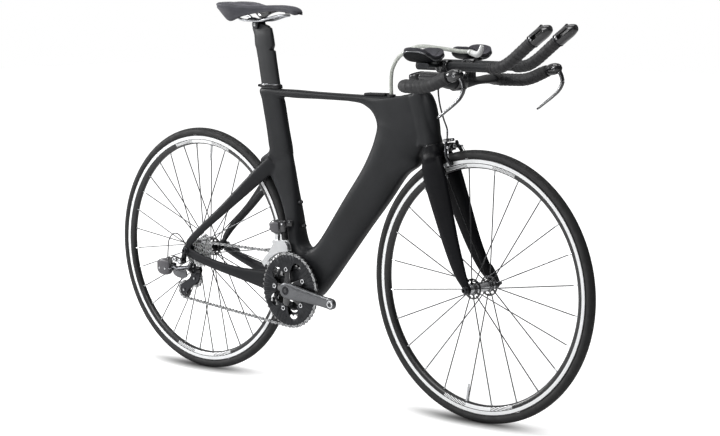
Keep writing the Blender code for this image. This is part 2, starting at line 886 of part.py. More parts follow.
def rear_hub():
    """The hub shell with its unlike flanges, the freehub's core and its spokes."""
    left, right = REAR_FLANGE_LEFT, -REAR_FLANGE_RIGHT
    edge = REAR_HUB_WIDTH / 2 - GAP
    bore = AXLE_RADIUS + GAP
    profile = [
        (bore, edge),
        (9, edge),
        (13, left + 8),
        (FLANGE_RADIUS, left + 3.4),
        (FLANGE_RADIUS, left - 3.4),
        (HUB_BODY_RADIUS + 1, left - 10),
        (HUB_BODY_RADIUS + 3, right + 8),
        (FLANGE_RADIUS, right + 3.0),
        (FLANGE_RADIUS, right - 3.0),
        (10.5, right - 3.2),
        (10.5, -FREEHUB_END),
        (8.5, -edge),
        (bore, -edge),
    ]
    made = turned("rear_hub", profile, (0, 0, AXLE_HEIGHT), "graphite", 16)
    return join(made, spokes("rear_spokes", 0, rear_spoke_plans()))


SKEWER_CAP = 8.0
CAM_RADIUS = 5.0


def axle(name, x, width, dropout_wall):
    """An axle with the quick-release nut on its right end and the cam's cap on its left end."""
    end = width / 2 + 0.5 + dropout_wall
    z = AXLE_HEIGHT
    made = bar(name, (x, -end - 2, z), (x, end + 2, z), AXLE_RADIUS, "steel", 12)
    nut = bar(f"{name}_nut", (x, -end - 10, z), (x, -end - GAP, z), 7.5, None, 10, 9.5)
    cap = bar(f"{name}_cap", (x, end + GAP, z), (x, end + SKEWER_CAP, z), 9.5, None, 10)
    return join(made, nut, cap)


def cam_centre(x, width, dropout_wall):
    return (x, width / 2 + 0.5 + dropout_wall + SKEWER_CAP + GAP + CAM_RADIUS, AXLE_HEIGHT)


def skewer_lever(name, x, width, dropout_wall, direction):
    """The cam lever on the left end: a barrel across the axle and an arm along direction (x, z)."""
    cx, y, z = cam_centre(x, width, dropout_wall)
    dx, dz = direction
    start, end = (cx + dz * 8, y, z - dx * 8), (cx - dz * 8, y, z + dx * 8)
    barrel = bar(f"{name}_cam", start, end, CAM_RADIUS, None, 10)
    reach = [
        (cx, y + 0.5, z, 4.5, 3.2),
        (cx + dx * 14, y + 1.5, z + dz * 14, 5.5, 2.6),
        (cx + dx * 38, y, z + dz * 38, 6.0, 2.2),
        (cx + dx * 52, y - 2, z + dz * 52, 4.5, 1.8),
    ]
    return join(sweep(name, reach, "graphite", up=(0, 1, 0), count=8), barrel)


# Drivetrain


def cassette():
    """Ten sprockets on the freehub's shell, largest inboard, closed by a lockring."""
    profile = []
    radii = [tip_radius(teeth) for teeth in SPROCKET_TEETH]
    half = 0.9
    outer = -FREEHUB_END + 4.5
    bore = 10.5 + 3 * GAP
    floor = 15.0
    profile += [(bore, outer - 4), (13.5, outer - 4)]
    for k, radius in enumerate(radii):
        y = outer + k * SPROCKET_STEP
        core = max(floor, radius - 9)
        profile += [(radius, y - half), (radius, y + half)]
        if k < len(radii) - 1:
            profile += [(core, y + SPROCKET_STEP / 2)]
    last = outer + (len(radii) - 1) * SPROCKET_STEP + half
    profile += [(bore, last)]
    return turned("cassette", profile, (0, 0, AXLE_HEIGHT), "steel", 12)


WINDOW_STEPS = 30


OUTER_WINDOW = 77.0
INNER_WINDOW = 60.0
TAB_RADIUS = BOLT_CIRCLE - 7.0


def ring_window(turn, wide=OUTER_WINDOW):
    """A chainring's inner edge: wide tabs reach in to the five bolts."""
    tab = 0.5 + 0.5 * math.cos(5 * turn)
    return wide - (wide - TAB_RADIUS) * min(1.0, 1.6 * tab) ** 1.5


def chainring(name, teeth, y, finish, inner, points=WINDOW_STEPS):
    outline = toothed_outline(teeth)
    window = []
    start = math.radians(CRANK_ANGLE + SPIDER_TURN)
    for k in range(points):
        turn = -2 * math.pi * k / points
        radius = inner(turn - start)
        window.append((radius * math.cos(turn), radius * math.sin(turn)))
    return flat(name, [outline, window], y, RING_WALL, finish, CRANK_CENTRE)


def crank_frame(reach, across, turn):
    """A place in the crank's plane, from its length direction and across it."""
    c, s = math.cos(turn), math.sin(turn)
    return (CRANK_CENTRE[0] + reach * c - across * s, CRANK_CENTRE[1] + reach * s + across * c)


def crank_arm(name, side, turn, inner_y, outer_y):
    """A tapering arm from the spindle's boss to the pedal's eye, with its hole cut."""
    rings = []
    plan = [
        (-20, 14, 0),
        (-8, 21, 0),
        (14, 22, 0),
        (60, 17.5, 1.5),
        (CRANK_LENGTH - 45, 15, 4),
        (CRANK_LENGTH, 15, 7),
        (CRANK_LENGTH + 13, 8, 7),
    ]
    half = (outer_y - inner_y) / 2
    for reach, width, lean in plan:
        x, z = crank_frame(reach, 0, turn)
        up = Vector((-math.sin(turn), 0, math.cos(turn)))
        thick = half if reach < 40 else half * (0.86 if reach < 100 else 0.78)
        middle = at(x, side * ((inner_y + outer_y) / 2 + lean), z)
        rings.append(oval(middle, up * width * MM, Vector((0, thick * MM, 0)), 10, 0.62))
    made = loft(name, rings, "graphite")
    ex, ez = crank_frame(CRANK_LENGTH, 0, turn)
    middle_y = (inner_y + outer_y) / 2 + 7
    inside, outside = (ex, side * (middle_y - 6.2), ez), (ex, side * (middle_y + 6.2), ez)
    join(made, bar(f"{name}_eye", inside, outside, 14.0, None, 16))
    inside, outside = (ex, side * (middle_y - 30), ez), (ex, side * (middle_y + 30), ez)
    return made, bar(f"{name}_hole", inside, outside, PEDAL_BORE, None, 12)


PEDAL_BORE = 7.15
RIGHT_ARM = (50.5, 63.5)  # inner and outer face at the spindle
LEFT_ARM = (47.0, 60.0)
SPINDLE_END = 57.0


def crank_right():
    """The drive-side arm with its five-legged spider and the spindle."""
    turn = math.radians(CRANK_ANGLE)
    made, hole = crank_arm("crank_right", -1, turn, *RIGHT_ARM)
    x, z = CRANK_CENTRE
    spindle = bar("spindle", (x, -RIGHT_ARM[0] - 4, z), (x, SPINDLE_END, z), SPINDLE_RADIUS, None, 18)
    outer = OUTER_RING_Y + RING_WALL / 2 + GAP
    inner = INNER_RING_Y - RING_WALL / 2 - GAP
    cup_face = -SHELL_HALF_WIDTH - CUP_WALL - 0.5
    hub = bar("spider_hub", (x, -RIGHT_ARM[0] - 3, z), (x, cup_face, z), 20.0, None, 12)
    legs = []
    for k in range(5):
        leg_turn = turn + math.radians(SPIDER_TURN) + 2 * math.pi * k / 5
        c, s = math.cos(leg_turn), math.sin(leg_turn)
        middle = (outer + inner) / 2
        wall = (inner - outer) / 2 * MM
        rings = []
        for reach, width, lift in ((14, 11, 0.8), (23, 10, 0.8), (27, 9, 0), (BOLT_CIRCLE + 7, 8, 0)):
            place = at(x + reach * c, middle - lift, z + reach * s)
            up = Vector((-s, 0, c)) * width * MM
            rings.append(oval(place, up, Vector((0, wall - lift * MM, 0)), 6, 0.5))
        legs.append(loft(f"spider_leg_{k}", rings, None))
    return cut(join(made, spindle, hub, *legs), hole)


def crank_left():
    turn = math.radians(CRANK_ANGLE + 180)
    made, hole = crank_arm("crank_left", 1, turn, *LEFT_ARM)
    x, z = CRANK_CENTRE
    start, end = (x, LEFT_ARM[0] - 10, z), (x, SPINDLE_END + GAP, z)
    bore = bar("left_arm_bore", start, end, SPINDLE_RADIUS + GAP, None, 18)
    return cut(made, hole, bore)


def bearing_cup(name, side):
    """A bottom-bracket cup with its bearing: a sleeve in the shell and a flange outside."""
    face = SHELL_HALF_WIDTH
    profile = [
        (SPINDLE_RADIUS + GAP, side * (face - 14)),
        (CUP_RADIUS - 4, side * (face - 14)),
        (CUP_RADIUS - 4, side * (face + GAP)),
        (CUP_RADIUS, side * (face + GAP)),
        (CUP_RADIUS, side * (face + CUP_WALL)),
        (SPINDLE_RADIUS + GAP, side * (face + CUP_WALL)),
    ]
    return turned(name, profile, (CRANK_CENTRE[0], 0, CRANK_CENTRE[1]), "graphite", 16)


CASSETTE_CHAIN_Y = -FREEHUB_END + 4.5 + CHAIN_SPROCKET * SPROCKET_STEP


def belt_path():
    """The chain's middle line: corners round the four wheels, so that every run is a tangent."""
    lift = GAP + CHAIN_DEPTH / 2
    wheels = [
        (CRANK_CENTRE, tip_radius(OUTER_RING_TEETH) + lift, 1, OUTER_RING_Y, 14),
        (TENSION_PULLEY, tip_radius(JOCKEY_TEETH) + lift, 1, CASSETTE_CHAIN_Y, 7),
        (GUIDE_PULLEY, tip_radius(JOCKEY_TEETH) + lift, -1, CASSETTE_CHAIN_Y, 5),
        ((0.0, AXLE_HEIGHT), tip_radius(SPROCKET_TEETH[CHAIN_SPROCKET]) + lift, 1, CASSETTE_CHAIN_Y, 7),
    ]
    leave, arrive = [], []
    for (a, ra, sa, _, _), (b, rb, sb, _, _) in zip(wheels, wheels[1:] + wheels[:1]):
        dx, dz = b[0] - a[0], b[1] - a[1]
        distance, heading = math.hypot(dx, dz), math.atan2(dz, dx)
        lean = math.asin((sb * rb - sa * ra) / distance)
        run = heading + lean
        leave.append(run + sa * math.pi / 2)
        arrive.append(run + sb * math.pi / 2)
    arrive = arrive[-1:] + arrive[:-1]
    path = []
    for (centre, radius, sign, y, count), start, end in zip(wheels, arrive, leave):
        step = (end - start) * -sign % (2 * math.pi) / count
        corner = radius / math.cos(step / 2)
        for k in range(count):
            turn = start - sign * step * (k + 0.5)
            path.append((centre[0] + corner * math.cos(turn), y, centre[1] + corner * math.sin(turn)))
    return path


def chain():
    """The chain as one closed band that runs just over the teeth."""
    path = [at(*p) for p in belt_path()]
    rings = []
    for k, place in enumerate(path):
        ahead = (path[(k + 1) % len(path)] - path[k - 1]).normalized()
        out = Vector((0, 1, 0)).cross(ahead).normalized() * CHAIN_DEPTH / 2 * MM
        side = Vector((0, CHAIN_WIDTH / 2 * MM, 0))
        rings.append([place + out + side, place - out + side, place - out - side, place + out - side])
    return loft("chain", rings, "chain", closed=True)


def jockey_wheel(name, centre):
    """A guide or tension pulley with its eleven teeth and a bushed bore."""
    hole = arc((0, 0), 3.5, 0, -330, 12)
    return flat(name, [toothed_outline(JOCKEY_TEETH), hole], CASSETTE_CHAIN_Y, 3.4, "rubber", centre)


CAGE_INNER_Y = CASSETTE_CHAIN_Y + 4.6
CAGE_OUTER_Y = CASSETTE_CHAIN_Y - 4.6
CAGE_WALL = 2.0


def derailleur_cage():
    """Two plates that hold the pulleys on their bolts, and the boss that turns in the knuckle."""
    gx, gz = GUIDE_PULLEY
    tx, tz = TENSION_PULLEY
    px, pz = CAGE_PIVOT
    outline = [
        *arc((px, pz), 9, -30, 130, 5),
        (gx - 12, gz + 4),
        (tx - 14, tz + 12),
        *arc((tx, tz), 12, 170, 330, 5),
        (gx + 14, gz - 8),
    ]
    made = prism("rear_derailleur_cage", outline, CAGE_OUTER_Y, CAGE_WALL, "graphite")
    inner_outline = [
        *arc((gx, gz), 9, -45, 135, 5),
        *arc((tx, tz), 9, 135, 315, 5),
    ]
    inner = prism("cage_inner", inner_outline, CAGE_INNER_Y, CAGE_WALL)
    bolts = [
        bar(f"pulley_bolt_{k}", (x, CAGE_OUTER_Y - 2.5, z), (x, CAGE_INNER_Y + 1.8, z), 3.0, None, 8)
        for k, (x, z) in enumerate((GUIDE_PULLEY, TENSION_PULLEY))
    ]
    boss = bar("cage_boss", (px, CAGE_OUTER_Y - 12, pz), (px, CAGE_OUTER_Y, pz), 5.0, None, 10)
    return join(made, inner, *bolts, boss)


def lean(place, along):
    """A place moved along the link's leaning pins."""
    x, y, z = place
    return (x, y + math.sin(LINK_TILT) * along, z + math.cos(LINK_TILT) * along)


LINK_AXIS = (0, math.sin(LINK_TILT), math.cos(LINK_TILT))
LINK_EYE = 7.0  # half the height of the link's two eyes
EAR_WALL = 4.0


def pin_ears(name, place):
    """A pin between two ears, for one end of the link."""
    gap = LINK_EYE + GAP
    return [
        bar(f"{name}_pin", lean(place, -gap - 1), lean(place, gap + 1), 2.2, None, 8),
        bar(f"{name}_top", lean(place, gap), lean(place, gap + EAR_WALL), 5.5, None, 8),
        bar(f"{name}_foot", lean(place, -gap - EAR_WALL), lean(place, -gap), 5.5, None, 8),
    ]


def derailleur_knuckle():
    """The lower knuckle: it holds the cage's boss and hangs from the link's front pin."""
    px, pz = CAGE_PIVOT
    low, high = CAGE_OUTER_Y - CAGE_WALL / 2 - GAP, CAGE_OUTER_Y - 16
    made = bar("rear_derailleur_knuckle", (px, low, pz), (px, high, pz), 11.5, "graphite", 12)
    middle = LINK_EYE + GAP + 0.7 * EAR_WALL
    top, foot = lean(LINK_FRONT, middle), lean(LINK_FRONT, -middle)
    high_path = [(px + 1, high + 5, pz + 3, 4, 5), (px + 1, high + 3, pz + 17, 3, 4.6), (*top, 1.1, 4.4)]
    low_path = [(px + 1, high + 5, pz - 4, 4, 5), (px + 1, high - 7, pz - 6, 3, 4.6), (*foot, 1.1, 4.4)]
    ears = [
        sweep("knuckle_upper", high_path, None, (1, 0, 0), 6),
        sweep("knuckle_lower", low_path, None, (1, 0, 0), 6),
    ]
    start, end = (px, low + 5, pz), (px, CAGE_OUTER_Y - 12 - GAP, pz)
    bore = bar("knuckle_bore", start, end, 5.0 + 2 * GAP, None, 10)
    return cut(join(made, *pin_ears("front", LINK_FRONT), *ears), bore)


def derailleur_link():
    """The link that swings the knuckle across the sprockets, with an eye at each end."""
    x1, y1, z1 = LINK_REAR
    x2, y2, z2 = LINK_FRONT
    stations = [
        (x1 + 2, y1 - 1, z1, 5, 5.6),
        (x1 + 8, y1 - 2, z1, 5, 6.0),
        (x1 + 18, y1 - 3, z1 - 3.5, 5, 7.4),
        (x2 - 14, y2 - 1.5, z2 - 2.5, 4.5, 5.4),
        (x2 - 2, y2 - 0.5, z2, 4.5, 5.6),
    ]
    made = sweep("rear_derailleur_link", stations, "graphite", LINK_AXIS, 8, 0.75)
    eyes, bores = [], []
    for name, place in (("rear", LINK_REAR), ("front", LINK_FRONT)):
        eyes.append(bar(f"{name}_eye", lean(place, -LINK_EYE), lean(place, LINK_EYE), 5.5, None, 10))
        bores.append(bar(f"{name}_eye_bore", lean(place, -30), lean(place, 30), 2.2 + GAP, None, 8))
    return cut(join(made, *eyes), *bores)


def derailleur_mount():
    """The upper knuckle that bolts to the frame's hanger, with the motor and the link's rear pin."""
    hx, hz = HANGER_BOLT
    x, y, z = LINK_REAR
    face = -DROPOUT_Y - DROPOUT_WALL / 2 - GAP
    made = bar("rear_derailleur_mount", (hx, face, hz), (hx, face - 13, hz), 9.8, "graphite", 12)
    arm = sweep(
        "mount_arm",
        [
            (hx - 3, face - 7, hz + 1, 5.5, 7),
            (hx - 22, face - 7, hz + 4, 5.5, 8),
            (x - 8, face - 7, hz + 3, 5.5, 9),
            (x - 18, y, z + 6, 7, 12),
        ],
        None,
        count=6,
    )
    motor = sweep(
        "motor",
        [
            (x - 58, y, z - 2, 8, 16),
            (x - 38, y, z - 3, 11, 23),
            (x - 18, y, z - 3, 10.5, 21),
            (x - 10, y, z - 3, 8, 15),
        ],
        None,
        count=8,
        power=0.75,
    )
    ears = []
    reach = LINK_EYE + GAP + EAR_WALL / 2
    for name, along in (("upper", reach), ("lower", -reach)):
        tip = lean(LINK_REAR, along)
        ears.append(
            sweep(
                f"motor_ear_{name}",
                [(x - 16, tip[1], tip[2], 3.5, 1.4), (x + 1.3, tip[1] + 0.2, tip[2], 4.1, 1.5)],
                None,
                LINK_AXIS,
                6,
                0.6,
            )
        )
    bolt = bar("hanger_pin", (hx, face - 5, hz), (hx, -DROPOUT_Y + DROPOUT_WALL / 2, hz), 4.0, None, 10)
    return join(made, motor, arm, bolt, *ears, *pin_ears("rear", LINK_REAR))


def derailleur_cable():
    """The loop from the dropout's port back and down into the motor body."""
    points = [
        (-1, -DROPOUT_Y - 4.9, 352),
        (-8, -DROPOUT_Y - 9, 366),
        (-24, -DROPOUT_Y - 11, 379),
        (-44, -DROPOUT_Y - 12, 377),
        (-59, -DROPOUT_Y - 13, 358),
        (-62, -DROPOUT_Y - 13.5, 334),
        (-64, -DROPOUT_Y - 13.5, 308),
    ]
    return wire("rear_derailleur_cable", points, 1.6, "rubber", 1, 2)


FD_PIVOT = (319.5, -40.0, 411.0)
FD_CAGE_Y = OUTER_RING_Y


def front_derailleur_body():
    """The motor box and its bracket on the seat tube."""
    made = block("front_derailleur_body", (306, -49, 406), (333, -29, 445), "graphite", 3.0)
    bracket = sweep(
        "derailleur_bracket",
        [(330, -39, 434, 7, 9), (344, -33.5, 437, 8, 10), (360, -29.3, 438, 7, 10)],
        None,
        count=8,
        power=0.7,
    )
    second = block("derailleur_box", (331, -46, 412), (350, -31, 446), None, 2.0)
    px, py, pz = FD_PIVOT
    slot = block("cage_slot", (px - 7, -60, 400), (px + 7, -20, pz + 7), None)
    pin = bar("cage_pin", (px - 10, py, pz), (px + 10, py, pz), 2.0, None, 10)
    return join(cut(join(made, bracket, second), slot), pin)


def front_derailleur_cage():
    """Two curved plates over the outer ring, joined at the back and the top."""
    centre = CRANK_CENTRE
    clear = tip_radius(OUTER_RING_TEETH) + GAP + CHAIN_DEPTH + 0.8
    outline = arc(centre, clear, 90, 148, 8) + arc(centre, clear + 15, 146, 128, 3)
    outline += [(centre[0] + x, centre[1] + clear + z) for x, z in ((-48, 26), (-12, 28), (-2, 14))]
    names = ("front_derailleur_cage", "cage_plate")
    made, other = [
        prism(name, outline, y, 1.4, finish)
        for name, y, finish in zip(names, (FD_CAGE_Y - 6.2, FD_CAGE_Y + 7.0), ("steel", None))
    ]
    top = block(
        "cage_top",
        (centre[0] - 58, FD_CAGE_Y - 6.4, centre[1] + clear + 17),
        (centre[0] - 14, FD_CAGE_Y + 7.2, centre[1] + clear + 25),
        None,
    )
    low, high = arc((0, 0), clear + 7, 142, 145, 2)
    tail = block(
        "cage_tail",
        (centre[0] + low[0] - 5, FD_CAGE_Y - 6.4, centre[1] + low[1] + 0.5),
        (centre[0] + low[0] + 1, FD_CAGE_Y + 7.2, centre[1] + low[1] + 5),
        None,
    )
    px, py, pz = FD_PIVOT
    lug = block("cage_lug", (px - 6, py - 4, centre[1] + clear + 22), (px + 6, py + 4, pz), None)
    eye = bar("cage_eye", (px - 6, py, pz), (px + 6, py, pz), 4.5, None, 12)
    bore = bar("cage_eye_bore", (px - 20, py, pz), (px + 20, py, pz), 2.0 + GAP, None, 10)
    return cut(join(made, other, top, tail, lug, eye), bore)


# Brakes


def beside(wheel_x, angle, radius, tangent=0.0, y=0.0):
    """A place from a wheel's axle: out along an angle, along the rim there, and to the side."""
    turn = math.radians(angle)
    c, s = math.cos(turn), math.sin(turn)
    return (wheel_x + radius * c - tangent * s, y, AXLE_HEIGHT + radius * s + tangent * c)


def brake_bridge():
    """The boss behind the crank that carries the rear brake's two pins."""
    rings = []
    plan = ((BRAKE_PIVOT - 6, 7, 20), (BRAKE_PIVOT + 8, 9, 23), (BRAKE_PIVOT + 30, 16, 24))
    for radius, half, width in plan:
        lift = 0 if radius < BRAKE_PIVOT + 20 else 20
        middle = at(*beside(0, REAR_BRAKE_ANGLE, radius, lift + 1.5))
        turn = math.radians(REAR_BRAKE_ANGLE)
        along = Vector((-math.sin(turn), 0, math.cos(turn))) * half * MM
        rings.append(oval(middle, along, Vector((0, width * MM, 0)), 12, 0.6))
    return loft("brake_bridge", rings, None)


def brake_arm(name, wheel_x, angle, side, tangent, lever_reach):
    """One arm: an eye on its pin, a bow round the tyre and a shoe with its pad."""

    def place(radius, y, shift=0.0):
        return beside(wheel_x, angle, radius, tangent + shift, side * y)

    turn = math.radians(angle)
    outwards = (math.cos(turn), 0, math.sin(turn))
    along = Vector((-math.sin(turn), 0, math.cos(turn)))
    bow = [
        (BRAKE_PIVOT + lever_reach, 20, 3, 3),
        (BRAKE_PIVOT + lever_reach / 2, 21, 4, 3.8),
        (BRAKE_PIVOT, 19, 5, 3.8),
        (BRAKE_PIVOT - 6, 26, 5, 3.8),
        (BRAKE_PIVOT - 18, 31, 4, 3.8),
        (BRAKE_PIVOT - 32, 30, 4, 3.8),
        (PAD_TRACK - 4, 23, 3.5, 3.4),
    ]
    stations = [(*place(radius, y), a, b) for radius, y, a, b in bow]
    made = sweep(name, stations, "graphite", up=along, count=6, power=0.8)
    pin_y = BRAKE_PIVOT_Y
    eye = bar(f"{name}_eye", place(BRAKE_PIVOT, pin_y, -4), place(BRAKE_PIVOT, pin_y, 4), 7.0, None, 10)
    face = RIM_WIDTH / 2 + PAD_TO_RIM
    shoe_rings = []
    for shift, half in ((-22, 3.0), (-18, 4.4), (18, 4.4), (22, 3.0)):
        middle = at(*place(PAD_TRACK, face + 5.5, shift))
        shoe_rings.append(
            oval(middle, Vector(outwards) * half * MM, Vector((0, 5.5 * MM, 0)), 6, 0.5)
        )
    shoe = loft(f"{name}_shoe", shoe_rings, None)
    neck = bar(f"{name}_neck", place(PAD_TRACK, face + 8), place(PAD_TRACK, 25), 3.5, None, 6)
    start, end = place(BRAKE_PIVOT, pin_y, -9), place(BRAKE_PIVOT, pin_y, 9)
    hole = bar(f"{name}_bore", start, end, 3.0 + 2 * GAP, None, 8)
    return cut(join(made, eye, shoe, neck), hole)


FRONT_BRAKE_TANGENT = -21.0  # ahead of the crown, along the rim
REAR_BRAKE_TANGENT = -13.0


def brake_pins(wheel_x, angle, tangent, prefix):
    pins = []
    for side in (-1, 1):
        start = beside(wheel_x, angle, BRAKE_PIVOT, tangent - 5.5, side * BRAKE_PIVOT_Y)
        end = beside(wheel_x, angle, BRAKE_PIVOT, tangent + 9, side * BRAKE_PIVOT_Y)
        pins.append(bar(f"{prefix}_{side_name(side)}", start, end, 3.0, None, 8))
    return pins


MOUNT_BOLT = 35.0


def front_brake_mount():
    """The plate that bolts to the crown and carries both arms' pins."""
    tangent = FRONT_BRAKE_TANGENT
    turn = math.radians(FRONT_BRAKE_ANGLE)
    out = Vector((math.cos(turn), 0, math.sin(turn)))
    rings = []
    for shift in (4 + GAP, 8.5):
        middle = at(*beside(FRONT_AXLE, FRONT_BRAKE_ANGLE, BRAKE_PIVOT + 1, tangent + shift))
        rings.append(oval(middle, out * 8 * MM, Vector((0, 21 * MM, 0)), 12, 0.7))
    made = loft("front_brake_mount", rings, "gloss_black")
    stem = bar(
        "mount_stem",
        beside(FRONT_AXLE, FRONT_BRAKE_ANGLE, BRAKE_PIVOT + 3, tangent + 6),
        beside(FRONT_AXLE, FRONT_BRAKE_ANGLE, BRAKE_PIVOT + 3, tangent + MOUNT_BOLT),
        6.0,
        None,
        10,
    )
    return join(made, stem, *brake_pins(FRONT_AXLE, FRONT_BRAKE_ANGLE, tangent, "front_pin"))


# Fork and cockpit

FORK_TIP_Y = FRONT_HUB_WIDTH / 2 + 3.8
FORK_TIP_WALL = 6.6


def fork():
    """The steerer, crown and two deep blades, with a slotted tip at each end."""
    crown = []
    for along, centre, a, b in (
        (HEAD_BOTTOM - GAP, -0.5, 23.2, 23.2),
        (HEAD_BOTTOM - 8, 0, 28.0, 28.5),
        (HEAD_BOTTOM - 20, 3, 32, 36),
        (HEAD_BOTTOM - 32, 5, 33, 40),
        (HEAD_BOTTOM - 38, 6, 32, 40),
    ):
        middle = at(*on_axis(along, centre))
        ahead = Vector((math.cos(HEAD_LEAN), 0, math.sin(HEAD_LEAN)))
        crown.append(oval(middle, ahead * a * MM, Vector((0, b * MM, 0)), 14, 0.72))
    made = loft("fork", crown, "carbon")
    steerer = bar("steerer", on_axis(HEAD_BOTTOM - 20), on_axis(STEERER_TOP), STEERER_RADIUS, None, 16)
    solids = [steerer]
    for side in (-1, 1):
        blade = [
            (836, 27, 641, 31, 9.5),
            (843, 30, 614, 35, 9.5),
            (855, 32.5, 580, 35, 9),
            (912, 42.5, 436, 24, 8),
            (941, 48.5, 378, 19, 6.5),
            (962, FORK_TIP_Y - 0.5, 348, 13, 4.5),
            (968, FORK_TIP_Y, 338, 12, 3.2),
        ]
        solids.append(
            sweep(
                f"blade_{side_name(side)}",
                [(x, side * y, z, a, b) for x, y, z, a, b in blade],
                None,
                up=(0, 1, 0),
                count=8,
                power=0.85,
            )
        )
        face = FORK_TIP_WALL / 2
        solids.append(
            bar(
                f"fork_tip_{side_name(side)}",
                (FRONT_AXLE, side * (FORK_TIP_Y - face), AXLE_HEIGHT),
                (FRONT_AXLE, side * (FORK_TIP_Y + face), AXLE_HEIGHT),
                13.0,
                None,
                14,
            )
        )
    join(made, *solids)
    hub = (FRONT_AXLE, AXLE_HEIGHT)
    arch = arc(hub, AXLE_HEIGHT + 7, 95, 150, 7) + arc(hub, AXLE_HEIGHT - 50, 150, 95, 3)
    room = prism("tyre_room", arch, 0, TYRE_WIDTH + 6)
    tangent = FRONT_BRAKE_TANGENT
    start = beside(FRONT_AXLE, FRONT_BRAKE_ANGLE, BRAKE_PIVOT + 3, tangent + 12)
    end = beside(FRONT_AXLE, FRONT_BRAKE_ANGLE, BRAKE_PIVOT + 3, tangent + MOUNT_BOLT + GAP)
    bolt_hole = bar("brake_bolt_hole", start, end, 6.0 + 2 * GAP, None, 10)
    return cut(made, axle_slot("fork_slot", FRONT_AXLE, FORK_TIP_Y + 10), room, bolt_hole)


WING_HALF_THICK = 8.0
CLAMP_HALF = 12.0


def bar_stations():
    """The base bar from the right horn's tip across to the left one's."""
    x, z = BAR_POINT
    w = BAR_HALF_WIDTH
    px, pz = LEVER_PIVOT
    grip = EXTENSION_RADIUS + TAPE_WALL + 1.5
    right = [
        (px - 22, -w, pz - 4, 12.0, 12.0),
        (px - 27, -w, pz - 5, grip - 1, grip - 1),
        (px - 45, -w, pz - 12, grip, grip),
        (px - 72, -w, pz - 23, grip, grip),
        (px - 100, -w, z - 0.5, grip, grip),
        (x + 4, -w + 1, z - 2, grip, grip),
        (x - 10, -w + 8, z - 2, 17.5, 16),
        (x - 17, -w + 22, z - 1, 19, 14),
        (x - 17, -w + 44, z, 20, 11),
        (x - 10, -w + 80, z, 20, WING_HALF_THICK),
        (x - 3, -70, z, 19, WING_HALF_THICK),
        (x, -36, z, 16.5, 15.8),
        (x, -18, z, 15.8, 15.8),
    ]
    return right + [(x, 18, z, 15.8, 15.8)] + mirrored(right[:-1][::-1])


def base_bar():
    """The low bar: a flat wing with a round middle, bent forwards into two taped horns."""
    return sweep("base_bar", bar_stations(), "tape", count=10)


def stem():
    """The clamp on the steerer, its arm and the split clamp round the bar's middle."""
    x, z = BAR_POINT
    low, high = on_axis(HEAD_TOP + 3), on_axis(STEERER_TOP + 5)
    made = bar("stem", low, high, 22.0, "gloss_black", 14)
    arm = sweep(
        "stem_arm",
        [(785, 0, 838, 17, 12), (826, 0, 838, 16, 11.5), (x - 12, 0, z + 5, 16, 12)],
        None,
        count=12,
        power=0.7,
    )
    clamp = bar("bar_clamp", (x, -17.2, z), (x, 17.2, z), 21.5, None, 14)
    bore = bar("bar_bore", (x, -30, z), (x, 30, z), 15.8 + 2 * GAP, None, 14)
    start, end = on_axis(HEAD_TOP - 10), on_axis(STEERER_TOP + GAP)
    steerer_bore = bar("stem_bore", start, end, STEERER_RADIUS + 2 * GAP, None, 16)
    return cut(join(made, arm, clamp), bore, steerer_bore)


def extension(side):
    """A taped extension that runs level over the bar and then bends up."""
    r = EXTENSION_RADIUS
    taped = r + TAPE_WALL
    z = EXTENSION_Z
    y = side * EXTENSION_Y
    stations = [
        (812, y, z, r, r),
        (1024, y, z, r, r),
        (1029, y, z, taped - 1, taped - 1),
        (1044, y, z + 0.5, taped, taped),
        (1068, y, z + 5, taped, taped),
        (1092, y, z + 18, taped, taped),
        (1116, y, z + 36, taped, taped),
        (1152, y, z + 64, taped + 0.5, taped + 0.5),
    ]
    return sweep(f"extension_{side_name(side)}", stations, "tape", count=10)


EXTENSION_END = (1152.0, 932.0)
POD_TILT = math.radians(38)


def along_pod(reach, rise=0.0, y=0.0):
    """A place from the extension's end, along its last direction and square to it."""
    c, s = math.cos(POD_TILT), math.sin(POD_TILT)
    return (EXTENSION_END[0] + reach * c - rise * s, y, EXTENSION_END[1] + reach * s + rise * c)


def shift_pod(side):
    """The shifter's housing on the extension's tip, with a slot for its paddle."""
    y = side * EXTENSION_Y
    stations = [
        (*along_pod(0.6, 0, y), 14, 14),
        (*along_pod(6, 0, y), 15.5, 16),
        (*along_pod(30, -1, y), 15, 16),
        (*along_pod(50, -4, y), 12.5, 13),
        (*along_pod(62, -7, y), 7, 7),
    ]
    made = sweep(f"shift_pod_{side_name(side)}", stations, "gloss_black", count=8, power=0.85)
    rings = []
    for reach in (8, 47):
        middle = at(*along_pod(reach, 17, y))
        rise = Vector((-math.sin(POD_TILT), 0, math.cos(POD_TILT)))
        rings.append(oval(middle, Vector((0, 5.3 * MM, 0)), rise * 10 * MM, 8, 0.4))
    slot = loft(f"paddle_slot_{side_name(side)}", rings, None)
    return cut(made, slot)


PADDLE_PIVOT = 28.0
PADDLE_RISE = 12.0


def shift_paddle(side):
    """The rocking paddle over the pod, held on a cross pin in its slot."""
    y = side * EXTENSION_Y
    stations = [
        (*along_pod(12, 14.5, y), 4.4, 1.6),
        (*along_pod(19, 13.2, y), 4.6, 3.0),
        (*along_pod(PADDLE_PIVOT, PADDLE_RISE, y), 4.8, 4.2),
        (*along_pod(37, 13.2, y), 4.6, 3.0),
        (*along_pod(44, 14.5, y), 4.4, 1.6),
    ]
    return sweep(f"shift_paddle_{side_name(side)}", stations, "gloss_black", count=8, power=0.7)


